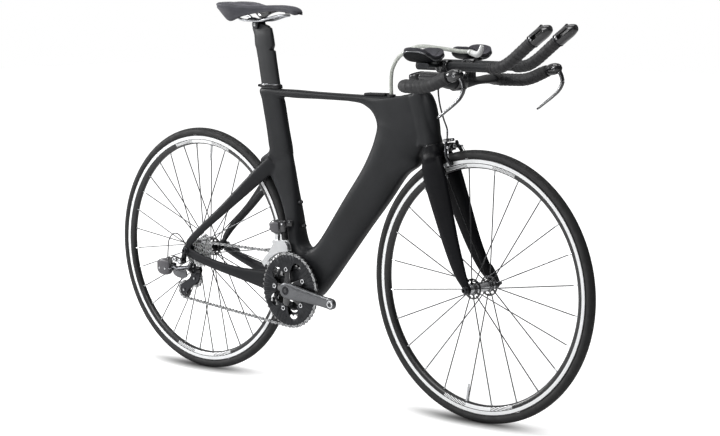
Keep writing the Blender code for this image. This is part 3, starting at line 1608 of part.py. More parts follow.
def extension_clamp(side):
    """The riser from the base bar to the extension, with a clamp ring for each."""
    x, z = BAR_POINT
    y = side * EXTENSION_Y
    made = block(
        f"extension_clamp_{side_name(side)}",
        (x - 14, min(y - CLAMP_HALF, y + CLAMP_HALF), z - 4),
        (x + 14, max(y - CLAMP_HALF, y + CLAMP_HALF), EXTENSION_Z),
        "gloss_black",
        2.0,
    )
    ring = bar(
        f"clamp_ring_{side_name(side)}",
        (x - 17, y, EXTENSION_Z),
        (x + 17, y, EXTENSION_Z),
        EXTENSION_RADIUS + 5,
        None,
        12,
    )
    foot = sweep(
        f"clamp_foot_{side_name(side)}",
        [(x - 1.5, y - CLAMP_HALF + 0.7, z, 22.3, 12.4), (x - 1.5, y + CLAMP_HALF - 0.7, z, 22.3, 12.4)],
        None,
        count=12,
    )
    bore = bar(
        f"clamp_ring_bore_{side_name(side)}",
        (x - 30, y, EXTENSION_Z),
        (x + 30, y, EXTENSION_Z),
        EXTENSION_RADIUS + 3 * GAP,
        None,
        12,
    )
    return join(made, ring, foot), bore


def wing_cutter(name, grow):
    """The base bar's middle, a little larger, to cut what clamps on it."""
    middle = [s for s in bar_stations() if abs(s[1]) < 125]
    return sweep(name, [(x, y, z, a + grow, b + grow) for x, y, z, a, b in middle], None, count=10)


# Each station of an arm rest: x, height of its floor, rise of its outer and its inner edge.
ARM_REST = [
    (824, 878, 24, 20),
    (831, 876.5, 25, 21),
    (846, 875.5, 25, 22),
    (863, 875, 25, 22),
    (880, 875.5, 24, 22),
    (895, 877, 23, 21),
    (903, 879, 22, 20),
]
ARM_REST_TRIM = (0.78, 0.94, 1.0, 1.0, 1.0, 0.94, 0.78)


def arm_rest_profile(side, floor, outer, inner, trim, count=7):
    """Points (y, z) across an arm rest: a trough whose two edges rise unlike amounts."""
    points = []
    for k in range(count):
        v = -1 + 2 * k / (count - 1)
        rise = outer if v < 0 else inner
        y = side * (PAD_Y - v * PAD_HALF_WIDTH * trim)
        points.append((y, floor + rise * trim * abs(v) ** 2.2))
    return points


def arm_rest(name, side, low, high, finish, shrink):
    """A bent sheet between two heights over the trough's floor."""
    rings = []
    for (x, floor, outer, inner), trim in zip(ARM_REST, ARM_REST_TRIM):
        trough = arm_rest_profile(side, floor, outer, inner, trim * shrink)
        crown = [k * (6 - k) for k in range(7)] if finish == "pad" else [0] * 7
        fall = 0.55 if finish == "pad" else 1.0
        top = []
        for (y, z), swell in zip(trough, crown):
            edge = fall if swell == 0 else 1.0
            top.append(at(x, y, z + low + (high - low) * edge))
        bottom = [at(x, y, z + low) for y, z in reversed(trough)]
        rings.append(top + bottom)
    return loft(name, rings, finish)


def arm_pad(side):
    """The foam pad in its cup, with a rounded edge."""
    low = CUP_SHELL + 7 * GAP
    return arm_rest(f"arm_pad_{side_name(side)}", side, low, low + PAD_WALL, "pad", 0.96)


def arm_rest_cup(side, clamp_bore):
    """The hard cup under the pad, with the bracket that bolts on to the extension's clamp."""
    made = arm_rest(f"arm_rest_cup_{side_name(side)}", side, 0, CUP_SHELL, "gloss_black", 1.0)
    x = BAR_POINT[0]
    y = side * (EXTENSION_Y + EXTENSION_RADIUS + 5 - 0.2)
    outer = side * (PAD_Y + 14)
    plate = block(
        f"cup_plate_{side_name(side)}",
        (x - 38, min(y, outer), EXTENSION_Z + 2),
        (x - 2, max(y, outer), EXTENSION_Z + 11.6),
        None,
        1.5,
    )
    return join(made, plate)


def lever_housing(side):
    """The plug in the horn's end that holds the brake lever's pin."""
    px, pz = LEVER_PIVOT
    y = side * BAR_HALF_WIDTH
    stations = [
        (px - 21, y, pz - 3.6, 12, 12),
        (px - 12, y, pz - 1, 15.5, 15),
        (px + 2, y, pz + 2, 14, 14),
        (px + 10, y, pz + 5, 9, 9),
    ]
    name = f"brake_lever_housing_{side_name(side)}"
    made = sweep(name, stations, "gloss_black", count=10, power=0.85)
    slot = block(
        f"lever_slot_{side_name(side)}",
        (px - 9, y - 5.5, pz - 30),
        (px + 25, y + 5.5, pz + 9),
        None,
    )
    pin = bar(f"lever_pin_{side_name(side)}", (px, y - 9, pz), (px, y + 9, pz), 2.5, None, 8)
    cut(made, slot)
    return join(made, pin)


def brake_lever(side):
    """The blade that hooks forwards and down and sweeps back under the horn."""
    px, pz = LEVER_PIVOT
    y = side * BAR_HALF_WIDTH
    path = [
        (px - 3, y, pz + 2, 4.8, 5.5),
        (px + 7, y, pz - 4, 5.0, 5.8),
        (px + 15, y, pz - 16, 5.4, 4.6),
        (px + 18, y, pz - 32, 6.5, 3.8),
        (px + 12, y, pz - 50, 7.0, 3.4),
        (px - 6, y, pz - 68, 6.8, 3.0),
        (px - 30, y, pz - 84, 6.4, 2.8),
        (px - 50, y, pz - 97, 5.6, 2.6),
        (px - 54, y, pz - 100, 3.5, 1.8),
    ]
    name = f"brake_lever_{side_name(side)}"
    made = sweep(name, path, "graphite", up=(1, 0, 0.3), count=6, power=0.85)
    eye = bar(f"lever_eye_{side_name(side)}", (px, y - 4.8, pz), (px, y + 4.8, pz), 6.5, None, 12)
    bore = bar(f"lever_bore_{side_name(side)}", (px, y - 20, pz), (px, y + 20, pz), 2.5 + GAP, None, 10)
    return cut(join(made, eye), bore)


def front_brake_cable():
    """The housing from under the stem down to the front brake's upper arm."""
    top = (841, -6, 824.8)
    points = [top, (838, -6, 802), (846, -9, 770), (860, -12, 738), (874, -15, 712), (876, -18, 687)]
    return wire("front_brake_cable", points, 2.2, "rubber", 1, 2)


def hydration_hose():
    """The drinking hose: up from the top tube's port, over the right pad and on to its valve."""
    points = [
        (694, -14, 785.6),
        (694, -15, 830),
        (702, -17, 858),
        (730, -21, 888),
        (790, -26, 911),
        (856, -24, 909),
        (910, -24, 904),
        (950, -24, 903),
    ]
    path = [(*point, HOSE_RADIUS, HOSE_RADIUS) for point in smooth_path(points, 2)]
    made = sweep("hydration_hose", path, "hose", (0, 1, 0.01), 8)
    valve = sweep(
        "bite_valve",
        [
            (946, -24, 903, 5.5, 5.5),
            (954, -24, 901, 7, 7),
            (969, -24, 897, 7.5, 7.5),
            (977, -24, 900, 7, 7),
            (986, -24, 918, 5, 5),
        ],
        None,
        up=(0, 1, 0),
        count=8,
    )
    return join(made, valve)


# The whole bicycle


def build():
    frame()
    seat_collar()
    seatpost()
    saddle_clamp()
    saddle_rails()
    saddle_shell()
    saddle_pad()
    for name, x in (("rear", 0.0), ("front", FRONT_AXLE)):
        tyre(f"{name}_tyre", x)
        rim(f"{name}_rim", x)
    front_hub()
    rear_hub()
    axle("rear_axle", 0.0, REAR_HUB_WIDTH, DROPOUT_WALL)
    axle("front_axle", FRONT_AXLE, FRONT_HUB_WIDTH, FORK_TIP_WALL)
    skewer_lever("rear_skewer_lever", 0.0, REAR_HUB_WIDTH, DROPOUT_WALL, (0.97, -0.24))
    skewer_lever("front_skewer_lever", FRONT_AXLE, FRONT_HUB_WIDTH, FORK_TIP_WALL, (-0.5, 0.866))
    cassette()
    chainring("chainring_outer", OUTER_RING_TEETH, OUTER_RING_Y, "graphite", ring_window)
    chainring("chainring_inner", INNER_RING_TEETH, INNER_RING_Y, "steel", lambda turn: ring_window(turn, INNER_WINDOW))
    crank_right()
    crank_left()
    bearing_cup("bottom_bracket_cup_right", -1)
    bearing_cup("bottom_bracket_cup_left", 1)
    chain()
    jockey_wheel("guide_pulley", GUIDE_PULLEY)
    jockey_wheel("tension_pulley", TENSION_PULLEY)
    derailleur_cage()
    derailleur_knuckle()
    derailleur_link()
    derailleur_mount()
    derailleur_cable()
    front_derailleur_body()
    front_derailleur_cage()
    fork()
    stem()
    base_bar()
    front_brake_mount()
    wing = wing_cutter("wing_cutter", 3 * GAP)
    for side in (-1, 1):
        end = side_name(side)
        front_place = (FRONT_AXLE, FRONT_BRAKE_ANGLE, side, FRONT_BRAKE_TANGENT)
        brake_arm(f"front_brake_arm_{end}", *front_place, 12)
        brake_arm(f"rear_brake_arm_{end}", 0.0, REAR_BRAKE_ANGLE, side, REAR_BRAKE_TANGENT, 6)
        extension(side)
        shift_pod(side)
        shift_paddle(side)
        clamp, bore = extension_clamp(side)
        cut(clamp, bore, wing)
        arm_rest_cup(side, bore)
        arm_pad(side)
        lever_housing(side)
        brake_lever(side)
    front_brake_cable()
    hydration_hose()


def pivots():
    """Each moving piece with the place on its joint's axis where its origin goes."""
    post = (post_edge(COLLAR_Z) + POST_CHORD / 2, 0, COLLAR_Z)
    places = {
        "seatpost": post,
        "crank_left": (CRANK_CENTRE[0], 0, CRANK_CENTRE[1]),
        "crank_right": (CRANK_CENTRE[0], 0, CRANK_CENTRE[1]),
        "rear_derailleur_link": LINK_REAR,
        "rear_derailleur_knuckle": LINK_FRONT,
        "rear_derailleur_cage": (CAGE_PIVOT[0], CAGE_OUTER_Y, CAGE_PIVOT[1]),
        "front_derailleur_cage": FD_PIVOT,
        "rear_skewer_lever": cam_centre(0.0, REAR_HUB_WIDTH, DROPOUT_WALL),
        "front_skewer_lever": cam_centre(FRONT_AXLE, FRONT_HUB_WIDTH, FORK_TIP_WALL),
    }
    for name in ("saddle_clamp", "saddle_rails", "saddle_shell", "saddle_pad"):
        places[name] = (SADDLE_PIVOT[0], 0, SADDLE_PIVOT[1])
    steered = ["fork", "stem", "base_bar", "front_brake_mount", "front_brake_cable", "hydration_hose"]
    for side in (-1, 1):
        end = side_name(side)
        steered += [f"{name}_{end}" for name in ("extension", "extension_clamp", "arm_rest_cup")]
        steered += [f"{name}_{end}" for name in ("arm_pad", "shift_pod", "brake_lever_housing")]
        places[f"brake_lever_{end}"] = (LEVER_PIVOT[0], side * BAR_HALF_WIDTH, LEVER_PIVOT[1])
        places[f"shift_paddle_{end}"] = along_pod(PADDLE_PIVOT, PADDLE_RISE, side * EXTENSION_Y)
        y = side * BRAKE_PIVOT_Y
        places[f"front_brake_arm_{end}"] = beside(
            FRONT_AXLE, FRONT_BRAKE_ANGLE, BRAKE_PIVOT, FRONT_BRAKE_TANGENT, y
        )
        places[f"rear_brake_arm_{end}"] = beside(0.0, REAR_BRAKE_ANGLE, BRAKE_PIVOT, REAR_BRAKE_TANGENT, y)
    places.update({name: on_axis(0) for name in steered})
    return places


def set_origins():
    """Moves each moving piece's origin on to its joint, with its shape left where it is."""
    for name, place in pivots().items():
        obj = bpy.data.objects[name]
        shift = at(*place) - obj.location
        obj.data.transform(Matrix.Translation(-shift))
        obj.location = at(*place)


build()
set_origins()
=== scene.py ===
"""The looks of a time-trial bicycle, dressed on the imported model.

Sizes are in millimetres, with x measured forwards from the rear axle, y to the rider's left and
z up from the ground. spot() turns them into metres in the model's own frame.
"""

import json
import math

import bmesh
import bpy
import numpy as np
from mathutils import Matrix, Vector

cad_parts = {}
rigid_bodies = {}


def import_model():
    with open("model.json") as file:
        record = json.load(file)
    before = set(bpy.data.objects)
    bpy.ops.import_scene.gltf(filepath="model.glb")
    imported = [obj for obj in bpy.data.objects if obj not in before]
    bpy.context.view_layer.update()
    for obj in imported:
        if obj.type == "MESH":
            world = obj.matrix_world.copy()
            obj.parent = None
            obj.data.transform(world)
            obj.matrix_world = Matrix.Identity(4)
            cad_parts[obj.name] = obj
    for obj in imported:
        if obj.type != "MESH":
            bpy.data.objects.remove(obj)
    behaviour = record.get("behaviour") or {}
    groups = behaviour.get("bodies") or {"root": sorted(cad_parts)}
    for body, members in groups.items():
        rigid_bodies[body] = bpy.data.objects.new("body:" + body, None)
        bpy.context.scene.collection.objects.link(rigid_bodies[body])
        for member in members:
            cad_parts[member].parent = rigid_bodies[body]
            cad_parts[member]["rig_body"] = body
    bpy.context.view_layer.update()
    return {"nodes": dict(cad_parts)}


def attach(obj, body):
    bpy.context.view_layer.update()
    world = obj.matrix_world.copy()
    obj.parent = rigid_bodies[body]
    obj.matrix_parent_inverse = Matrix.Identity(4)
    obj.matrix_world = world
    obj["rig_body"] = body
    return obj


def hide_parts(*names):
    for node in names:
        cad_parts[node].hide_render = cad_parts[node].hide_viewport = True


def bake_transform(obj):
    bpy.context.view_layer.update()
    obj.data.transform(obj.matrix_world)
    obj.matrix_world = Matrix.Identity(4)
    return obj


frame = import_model()

WHEELBASE = 970.0
WHEEL_RADIUS = 334.0
TYRE_HALF = 11.5
DROPOUT_Y = 69.0
FORK_TIP_Y = 53.8
CRANK_X, CRANK_Z = 370.0, 264.0
CRANK_CENTRE = (CRANK_X, CRANK_Z)
CRANK_PLACE = (CRANK_X, 0.0, CRANK_Z)
CRANK_LENGTH = 165.0
CRANK_ANGLE = math.radians(-5.5)
SPIDER_TURN = math.radians(36)
CHAIN_PITCH = 12.7
OUTER_TEETH = 48
INNER_TEETH = 34
PULLEY_TEETH = 11
CASSETTE_TEETH = (11, 12, 13, 14, 15, 17, 19, 21, 23, 25)
CHAIN_SPROCKET = 2
CHAIN_TEETH = CASSETTE_TEETH[CHAIN_SPROCKET]
SMALLEST_SPROCKET_Y = -56.5
SPROCKET_STEP = 3.9
OUTER_RING_Y = -46.5
INNER_RING_Y = -39.5
CASSETTE_CHAIN_Y = -48.7
ARC_POINTS = 60
LOWER_RUN_BEND = 0.42
GUIDE_PULLEY = (12.0, 256.0)
TENSION_PULLEY = (-30.0, 220.0)
CAGE_PIVOT_X, CAGE_PIVOT_Z = 25.0, 280.0
CAGE_PIVOT = (CAGE_PIVOT_X, CAGE_PIVOT_Z)
HANGER_X, HANGER_Z = -13.0, 305.0
HEAD_LEAN = math.radians(17.5)
HEAD_POINT = (778.0, 800.0)
HEAD_FOOT = -136.3
BAR_X, BAR_Z = 893.0, 828.0
BAR_HALF_WIDTH = 192.0
EXTENSION_Y = 50.0
EXTENSION_Z = 868.0
LEVER_PIVOT = (1047.0, 857.0)
SADDLE_X, SADDLE_Z = 216.0, 954.0
POST_SLOPE = 0.195
COLLAR_Z = 793
TURN = 2 * math.pi
SIDES = ((-1, "right"), (1, "left"))
METRES = 0.001
AHEAD, ACROSS, UP = (1, 0, 0), (0, 1, 0), (0, 0, 1)
HUB = {end: np.array((x, 0.0, WHEEL_RADIUS)) for end, x in (("front", WHEELBASE), ("rear", 0.0))}


# Shapes, each a set of points in millimetres with faces and pattern coordinates


def spot(points):
    """Places in millimetres as metres in the model's frame."""
    return (floats(points) - (WHEELBASE / 2, 0.0, 0.0)) * METRES


def floats(values):
    return np.asarray(values, float)


def unit(v):
    v = floats(v)
    return v / np.maximum(np.linalg.norm(v, axis=-1, keepdims=True), 1e-9)


def flow(stations, count, closed=False):
    """A Catmull-Rom curve through the stations. With a, b, c, d in a row and u from 0 to 1 between b
    and c it is half of 2b + (c - a) u + (2a - 5b + 4c - d) u^2 + (3b - a - 3c + d) u^3."""
    s = floats(stations)
    if closed:
        s = np.vstack([s[-1], s, s[:2]])
        t = np.linspace(0, len(s) - 3, count, endpoint=False)
    else:
        s = np.vstack([2 * s[0] - s[1], s, 2 * s[-1] - s[-2]])
        t = np.linspace(0, len(s) - 3, count)
    i = np.minimum(t.astype(int), len(s) - 4)
    u = (t - i)[:, None]
    a, b, c, d = s[i], s[i + 1], s[i + 2], s[i + 3]
    bend = (2 * a - 5 * b + 4 * c - d) * u**2 + (3 * b - a - 3 * c + d) * u**3
    return 0.5 * (2 * b + (c - a) * u + bend)


def skin(grid, closed=False, length=None):
    """Faces over a grid of rows by columns: columns join round, rows join where closed or get caps.
    The pattern's u is the length along the rows in metres and its v goes once round the columns."""
    rows, columns = grid.shape[:2]
    spans = rows if closed else rows - 1
    i = np.arange(spans)[:, None] + np.zeros(columns, int)
    k = np.arange(columns)[None, :] + np.zeros((spans, 1), int)
    j, n = (i + 1) % rows, (k + 1) % columns
    quads = np.stack([i * columns + k, i * columns + n, j * columns + n, j * columns + k], -1)
    if length is None:
        middle = grid.mean(axis=1)
        step = np.linalg.norm(np.diff(np.vstack([middle, middle[:1]]), axis=0), axis=1)
        length = np.concatenate([[0], np.cumsum(step)]) * METRES
    u0, u1 = length[i], length[i + 1]
    v0, v1 = k / columns, (k + 1) / columns
    wrap = np.stack([u0, v0, u0, v1, u1, v1, u1, v0], -1).reshape(-1, 2)
    faces = quads.reshape(-1, 4).tolist()
    if not closed:
        faces += [list(range(columns - 1, -1, -1)), list(range((rows - 1) * columns, rows * columns))]
        wrap = np.vstack([wrap, np.zeros((2 * columns, 2))])
    return {"points": grid.reshape(-1, 3), "faces": faces, "wrap": wrap}


def power_of(values, power):
    return np.sign(values) * np.abs(values) ** power


def turns_of(count):
    """Angles at even steps once round."""
    return np.arange(count) * TURN / count


def ring_of(count, power):
    """A ring's cos(t)^power and sin(t)^power, which is square with soft corners below a power of 1."""
    t = turns_of(count)
    return power_of(np.cos(t), power), power_of(np.sin(t), power)


def tube(stations, rows=40, sides=20, up=UP, power=1.0, closed=False):
    """A ring of half sizes across and up, carried along a curve through stations x, y, z, across, up.
    The ring is centre + across * cos(t)^power + rise * sin(t)^power."""
    line = flow(stations, rows, closed)
    centre = line[:, :3]
    if closed:
        ahead = np.roll(centre, -1, 0) - np.roll(centre, 1, 0)
    else:
        ahead = np.gradient(centre, axis=0)
    across = unit(np.cross(ahead, floats(up)))
    rise = unit(np.cross(across, ahead))
    c, s = ring_of(sides, power)
    grid = centre[:, None] + across[:, None] * (line[:, 3:4] * c)[..., None]
    grid = grid + rise[:, None] * (line[:, 4:5] * s)[..., None]
    return skin(grid, closed)


def cable(points, radius, rows=60, sides=12):
    """A round tube of one radius along a curve through the points."""
    stations = [(*p, radius, radius) for p in points]
    line = floats(points)
    up = ACROSS if np.ptp(line[:, 1]) < 0.6 * np.ptp(line[:, 2]) + 1 else UP
    return tube(stations, rows, sides, up)


def basis(way):
    """The way at unit length, and two directions square to it and to one another."""
    way = unit(way)
    side = unit(np.cross(way, UP if abs(way[2]) < 0.9 else AHEAD))
    return way, side, np.cross(way, side)


def lathe(profile, centre, way=ACROSS, steps=48, hollow=True):
    """A profile of (radius, height) turned about a line through the centre: every point is
    centre + way * height + radius * (side * cos(t) + rise * sin(t))."""
    way, side, rise = basis(way)
    profile = floats(profile)
    t = turns_of(steps)
    circle = np.cos(t)[:, None] * side + np.sin(t)[:, None] * rise
    if hollow:
        grid = profile[None, :, :1] * circle[:, None] + profile[None, :, 1:] * way
        return skin(grid + floats(centre), True, np.arange(steps + 1) / steps)
    grid = profile[:, None, :1] * circle[None] + profile[:, None, 1:] * way
    return skin(grid + floats(centre))


def rod(start, end, radius, sides=20, last=None, edge=0.0):
    """A capped cylinder or cone between two places, with an edge rounded by one step."""
    start, end = floats(start), floats(end)
    size = np.linalg.norm(end - start)
    last = radius if last is None else last
    profile = [(radius, 0), (last, size)]
    if edge:
        profile = [(radius - edge, 0), (radius, edge), (last, size - edge), (last - edge, size)]
    return lathe(profile, start, end - start, sides, hollow=False)


def plate(outline, y, wall):
    """A flat plate in the XZ plane, between y - wall / 2 and y + wall / 2, from an outline of (x, z)."""
    flat = floats(outline)
    rows = [np.column_stack([flat[:, 0], np.full(len(flat), y + s * wall / 2), flat[:, 1]])
        for s in (-1, 1)]
    return skin(np.stack(rows))


def ring_plate(outer, inner, centre, y, wall, edge, count):
    """A flat ring in the XZ plane: its rim's radius is outer(t) and its window's radius is inner(t)."""
    t = turns_of(count)
    far, near = outer(t), inner(t)
    half = wall / 2
    levels = [(far - edge, half), (far, half - edge), (far, edge - half), (far - edge, -half)]
    levels += [(near + edge, -half), (near, edge - half), (near, half - edge), (near + edge, half)]
    radius = np.stack([r for r, _ in levels], 1)
    height = np.array([h for _, h in levels])
    x, z = centre[0] + radius * np.cos(t)[:, None], centre[1] + radius * np.sin(t)[:, None]
    grid = np.stack([x, y + np.broadcast_to(height, radius.shape), z], -1)
    return skin(grid, True, np.arange(count + 1) / count)


def box_shape(low, high):
    low, high = floats(low), floats(high)
    square = np.array([(0, 0), (1, 0), (1, 1), (0, 1)])
    rows = [np.column_stack([np.full(4, x), square]) for x in (0, 1)]
    return skin(low + np.stack(rows) * (high - low))


def mirrored(shape):
    """A shape on the other side of the bicycle, with its faces turned the right way out again."""
    faces = [face[::-1] for face in shape["faces"]]
    sizes = [len(face) for face in faces]
    order = [np.arange(end - 1, end - size - 1, -1) for end, size in zip(np.cumsum(sizes), sizes)]
    wrap = shape["wrap"][np.concatenate(order)]
    return {"points": shape["points"] * (1, -1, 1), "faces": faces, "wrap": wrap}


def together(shapes):
    """Several shapes as one."""
    starts = np.cumsum([0] + [len(s["points"]) for s in shapes])
    faces = [[int(v + start) for v in face] for s, start in zip(shapes, starts) for face in s["faces"]]
    return {
        "points": np.vstack([s["points"] for s in shapes]),
        "faces": faces,
        "wrap": np.vstack([s["wrap"] for s in shapes]),
    }


def bolt(place, way, radius, height=3.0):
    """A socket-head bolt: round outside, with a six-sided recess that goes half way down."""
    way, side, rise = basis(way)
    t = turns_of(24)
    circle = np.cos(t)[:, None] * side + np.sin(t)[:, None] * rise
    six = 1 / np.cos((t + TURN / 12) % (TURN / 6) - TURN / 12)
    centre = floats(place)
    head = [(1.0, 0.0), (1.0, 0.8), (0.9, 1.0)]
    recess = [(0.52, 1.0), (0.5, 0.45)]
    grid = [centre + circle * radius * r + way * height * h for r, h in head]
    grid += [centre + circle * (radius * r * six)[..., None] + way * height * h for r, h in recess]
    return skin(np.stack(grid))


def build_mesh(name, shape):
    mesh = bpy.data.meshes.new(name)
    mesh.from_pydata(spot(shape["points"]).tolist(), [], shape["faces"])
    layer = mesh.uv_layers.new(name="wrap")
    layer.data.foreach_set("uv", np.ascontiguousarray(shape["wrap"], np.float32).ravel())
    work = bmesh.new()
    work.from_mesh(mesh)
    bmesh.ops.remove_doubles(work, verts=work.verts, dist=1e-7)
    bmesh.ops.recalc_face_normals(work, faces=work.faces)
    work.to_mesh(mesh)
    work.free()
    return mesh


def placed(name, data):
    """A new object in the scene."""
    obj = bpy.data.objects.new(name, data)
    bpy.context.scene.collection.objects.link(obj)
    return obj


def rounded(obj, edge, segments, limit):
    """Rounds the edges that turn by more than the limit in degrees."""
    bevel = obj.modifiers.new("edge", "BEVEL")
    bevel.width = edge * METRES
    bevel.segments = segments
    bevel.limit_method = "ANGLE"
    bevel.angle_limit = math.radians(limit)
    bevel.use_clamp_overlap = True


def dressed(obj, body, look, nodes=(), angle=35):
    """Gives a piece its finish, its body and the CAD nodes that it stands for. The body is a name, or
    two names and two places, with which the piece is only set in place and joins no body."""
    obj.data.materials.clear()
    obj.data.materials.append(look)
    obj.data.shade_smooth()
    obj.data.set_sharp_from_angle(angle=math.radians(angle))
    if isinstance(body, str):
        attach(obj, body)
    else:
        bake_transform(obj)
    if nodes:
        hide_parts(*nodes)
    return obj


def piece(name, shapes, body, look, nodes=(), edge=0.0, angle=35):
    """A finished piece of the scene from one shape or several."""
    shapes = shapes if isinstance(shapes, list) else [shapes]
    obj = placed(name, build_mesh(name, together(shapes)))
    if edge:
        rounded(obj, edge, 2, 35)
    return dressed(obj, body, look, nodes, angle)


def settle(obj):
    """Makes a piece's modifiers part of its mesh."""
    graph = bpy.context.evaluated_depsgraph_get()
    mesh = bpy.data.meshes.new_from_object(obj.evaluated_get(graph))
    obj.modifiers.clear()
    obj.data = mesh


def moulded(name, shapes, body, look, nodes, voxel=2.6, rounds=5, factor=0.5, cuts=()):
    """Several solids run together as one moulding: a skin over their union, less the cuts, smoothed
    at its joints."""
    obj = placed(name, build_mesh(name, together(shapes)))
    remesh = obj.modifiers.new("one skin", "REMESH")
    remesh.mode = "VOXEL"
    remesh.voxel_size = voxel * METRES
    knives = []
    for number, shape in enumerate(cuts):
        knife_name = f"{name}_cut_{number}"
        knife = placed(knife_name, build_mesh(knife_name, shape))
        carve = obj.modifiers.new("cut", "BOOLEAN")
        carve.operation = "DIFFERENCE"
        carve.object = knife
        knives.append(knife)
    even = obj.modifiers.new("even", "SMOOTH")
    even.factor = factor
    even.iterations = rounds
    settle(obj)
    for knife in knives:
        bpy.data.objects.remove(knife)
    dressed(obj, body, look, nodes, 180)


def refined(node, look, edge, segments=2):
    """A copy of a CAD node with its edges rounded, dressed in a finish."""
    source = frame["nodes"][node]
    obj = placed(f"{node}_finished", source.data.copy())
    work = bmesh.new()
    work.from_mesh(obj.data)
    bmesh.ops.remove_doubles(work, verts=work.verts, dist=2e-6)
    flat = [e for e in work.edges if len(e.link_faces) == 2 and e.calc_face_angle(1) < 0.01]
    bmesh.ops.dissolve_edges(work, edges=flat, use_verts=False)
    work.to_mesh(obj.data)
    work.free()
    rounded(obj, edge, segments, 30)
    dressed(obj, source["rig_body"], look, [node], 30)


# Finishes


def graded(tree, value, start, end, low, high):
    """A node that carries a value from the span start to end over to the span low to high."""
    made = tree.nodes.new("ShaderNodeMapRange")
    for name, number in zip(("From Min", "From Max", "To Min", "To Max"), (start, end, low, high)):
        made.inputs[name].default_value = number
    tree.links.new(value, made.inputs["Value"])
    return made


class Finish:
    """A small helper that strings shader nodes together for one finish."""

    def __init__(self, name, colour, roughness=0.5, metallic=0.0):
        self.look = bpy.data.materials.new(name)
        self.look.use_nodes = True
        self.tree = self.look.node_tree
        self.shader = self.tree.nodes["Principled BSDF"]
        self.set("Base Color", (*colour, 1.0))
        self.set("Roughness", roughness)
        self.set("Metallic", metallic)

    def set(self, socket, value):
        self.shader.inputs[socket].default_value = value

    def node(self, kind, **inputs):
        made = self.tree.nodes.new(kind)
        for name, value in inputs.items():
            self.join(value, made.inputs[name.replace("_", " ")])
        return made

    def join(self, value, socket):
        if isinstance(value, bpy.types.NodeSocket):
            self.tree.links.new(value, socket)
        else:
            socket.default_value = value

    def place(self, scale=(1, 1, 1)):
        where = self.node("ShaderNodeTexCoord").outputs["Object"]
        mapping = self.node("ShaderNodeMapping", Vector=where)
        mapping.inputs["Scale"].default_value = scale
        return mapping.outputs["Vector"]

    def wrap(self):
        """The pattern's u and v on the piece."""
        made = self.node("ShaderNodeUVMap")
        made.uv_map = "wrap"
        parts = self.node("ShaderNodeSeparateXYZ", Vector=made.outputs["UV"])
        return parts.outputs["X"], parts.outputs["Y"]

    def sum(self, kind, a, b=0.0, c=0.0):
        made = self.tree.nodes.new("ShaderNodeMath")
        made.operation = kind
        for value, socket in zip((a, b, c), made.inputs):
            self.join(value, socket)
        return made.outputs["Value"]

    def between(self, value, low, high):
        """1 where the value lies between low and high, and 0 elsewhere."""
        return self.sum("MULTIPLY", self.sum("GREATER_THAN", value, low),
            self.sum("LESS_THAN", value, high))

    def either(self, a, b):
        return self.sum("MAXIMUM", a, b)

    def mix(self, amount, a, b):
        made = self.tree.nodes.new("ShaderNodeMix")
        made.data_type = "RGBA"
        self.join(amount, made.inputs[0])
        for value, socket in ((a, made.inputs[6]), (b, made.inputs[7])):
            self.join(value if isinstance(value, bpy.types.NodeSocket) else (*value, 1.0), socket)
        return made.outputs[2]

    def noise(self, scale, detail=3.0, stretch=(1, 1, 1), rough=0.5):
        made = self.node("ShaderNodeTexNoise", Vector=self.place(stretch))
        made.inputs["Scale"].default_value = scale
        made.inputs["Detail"].default_value = detail
        made.inputs["Roughness"].default_value = rough
        return made.outputs["Fac"]

    def span(self, value, low, high):
        """A noise's middle half, spread from low to high."""
        return graded(self.tree, value, 0.25, 0.75, low, high).outputs["Result"]

    def length(self, vector):
        made = self.node("ShaderNodeVectorMath")
        made.operation = "LENGTH"
        self.join(vector, made.inputs[0])
        return made.outputs["Value"]

    def about(self, centre_x, centre_z):
        """How far a place lies ahead of, above and away from a centre, seen along y and in metres."""
        where = self.node("ShaderNodeTexCoord").outputs["Object"]
        parts = self.node("ShaderNodeSeparateXYZ", Vector=where)
        x = self.sum("SUBTRACT", parts.outputs["X"], (centre_x - WHEELBASE / 2) * METRES)
        z = self.sum("SUBTRACT", parts.outputs["Z"], centre_z * METRES)
        squares = self.sum("ADD", self.sum("MULTIPLY", x, x), self.sum("MULTIPLY", z, z))
        return x, z, self.sum("SQRT", squares)

    def bump(self, height, strength, distance=0.001):
        made = self.node("ShaderNodeBump", Height=height, Strength=strength, Distance=distance)
        before = self.shader.inputs["Normal"]
        if before.is_linked:
            self.join(before.links[0].from_socket, made.inputs["Normal"])
        self.join(made.outputs["Normal"], before)

    def colour(self, value):
        self.join(value, self.shader.inputs["Base Color"])

    def roughness(self, value):
        self.join(value, self.shader.inputs["Roughness"])

    def mottled(self, colour, change, scale):
        """Slight light and dark patches over the whole finish."""
        dark = tuple(c * (1 - change) for c in colour)
        pale = tuple(min(1.0, c * (1 + change)) for c in colour)
        self.colour(self.mix(self.span(self.noise(scale, 4.0), 0, 1), dark, pale))


def carbon(name, colour=(0.021, 0.022, 0.025), low=0.36, high=0.46, shine=0.16):
    """Satin painted carbon: faint mottling, a trace of orange peel and dust-fine grain."""
    made = Finish(name, colour, 0.4)
    made.set("Specular IOR Level", shine)
    made.set("Coat Weight", 0.02)
    made.set("Coat Roughness", 0.32)
    made.mottled(colour, 0.22, 9)
    made.roughness(made.span(made.noise(22, 5), low, high))
    made.bump(made.noise(900, 2), 0.05, 0.0002)
    return made.look


def gloss(name, colour=(0.011, 0.011, 0.013), roughness=0.16):
    """Moulded or painted gloss black with a clear coat."""
    made = Finish(name, colour, roughness)
    made.set("Coat Weight", 0.6)
    made.set("Coat Roughness", 0.06)
    made.mottled(colour, 0.15, 30)
    made.roughness(made.span(made.noise(60, 4), roughness - 0.04, roughness + 0.08))
    made.bump(made.noise(260, 2), 0.03, 0.0003)
    return made.look


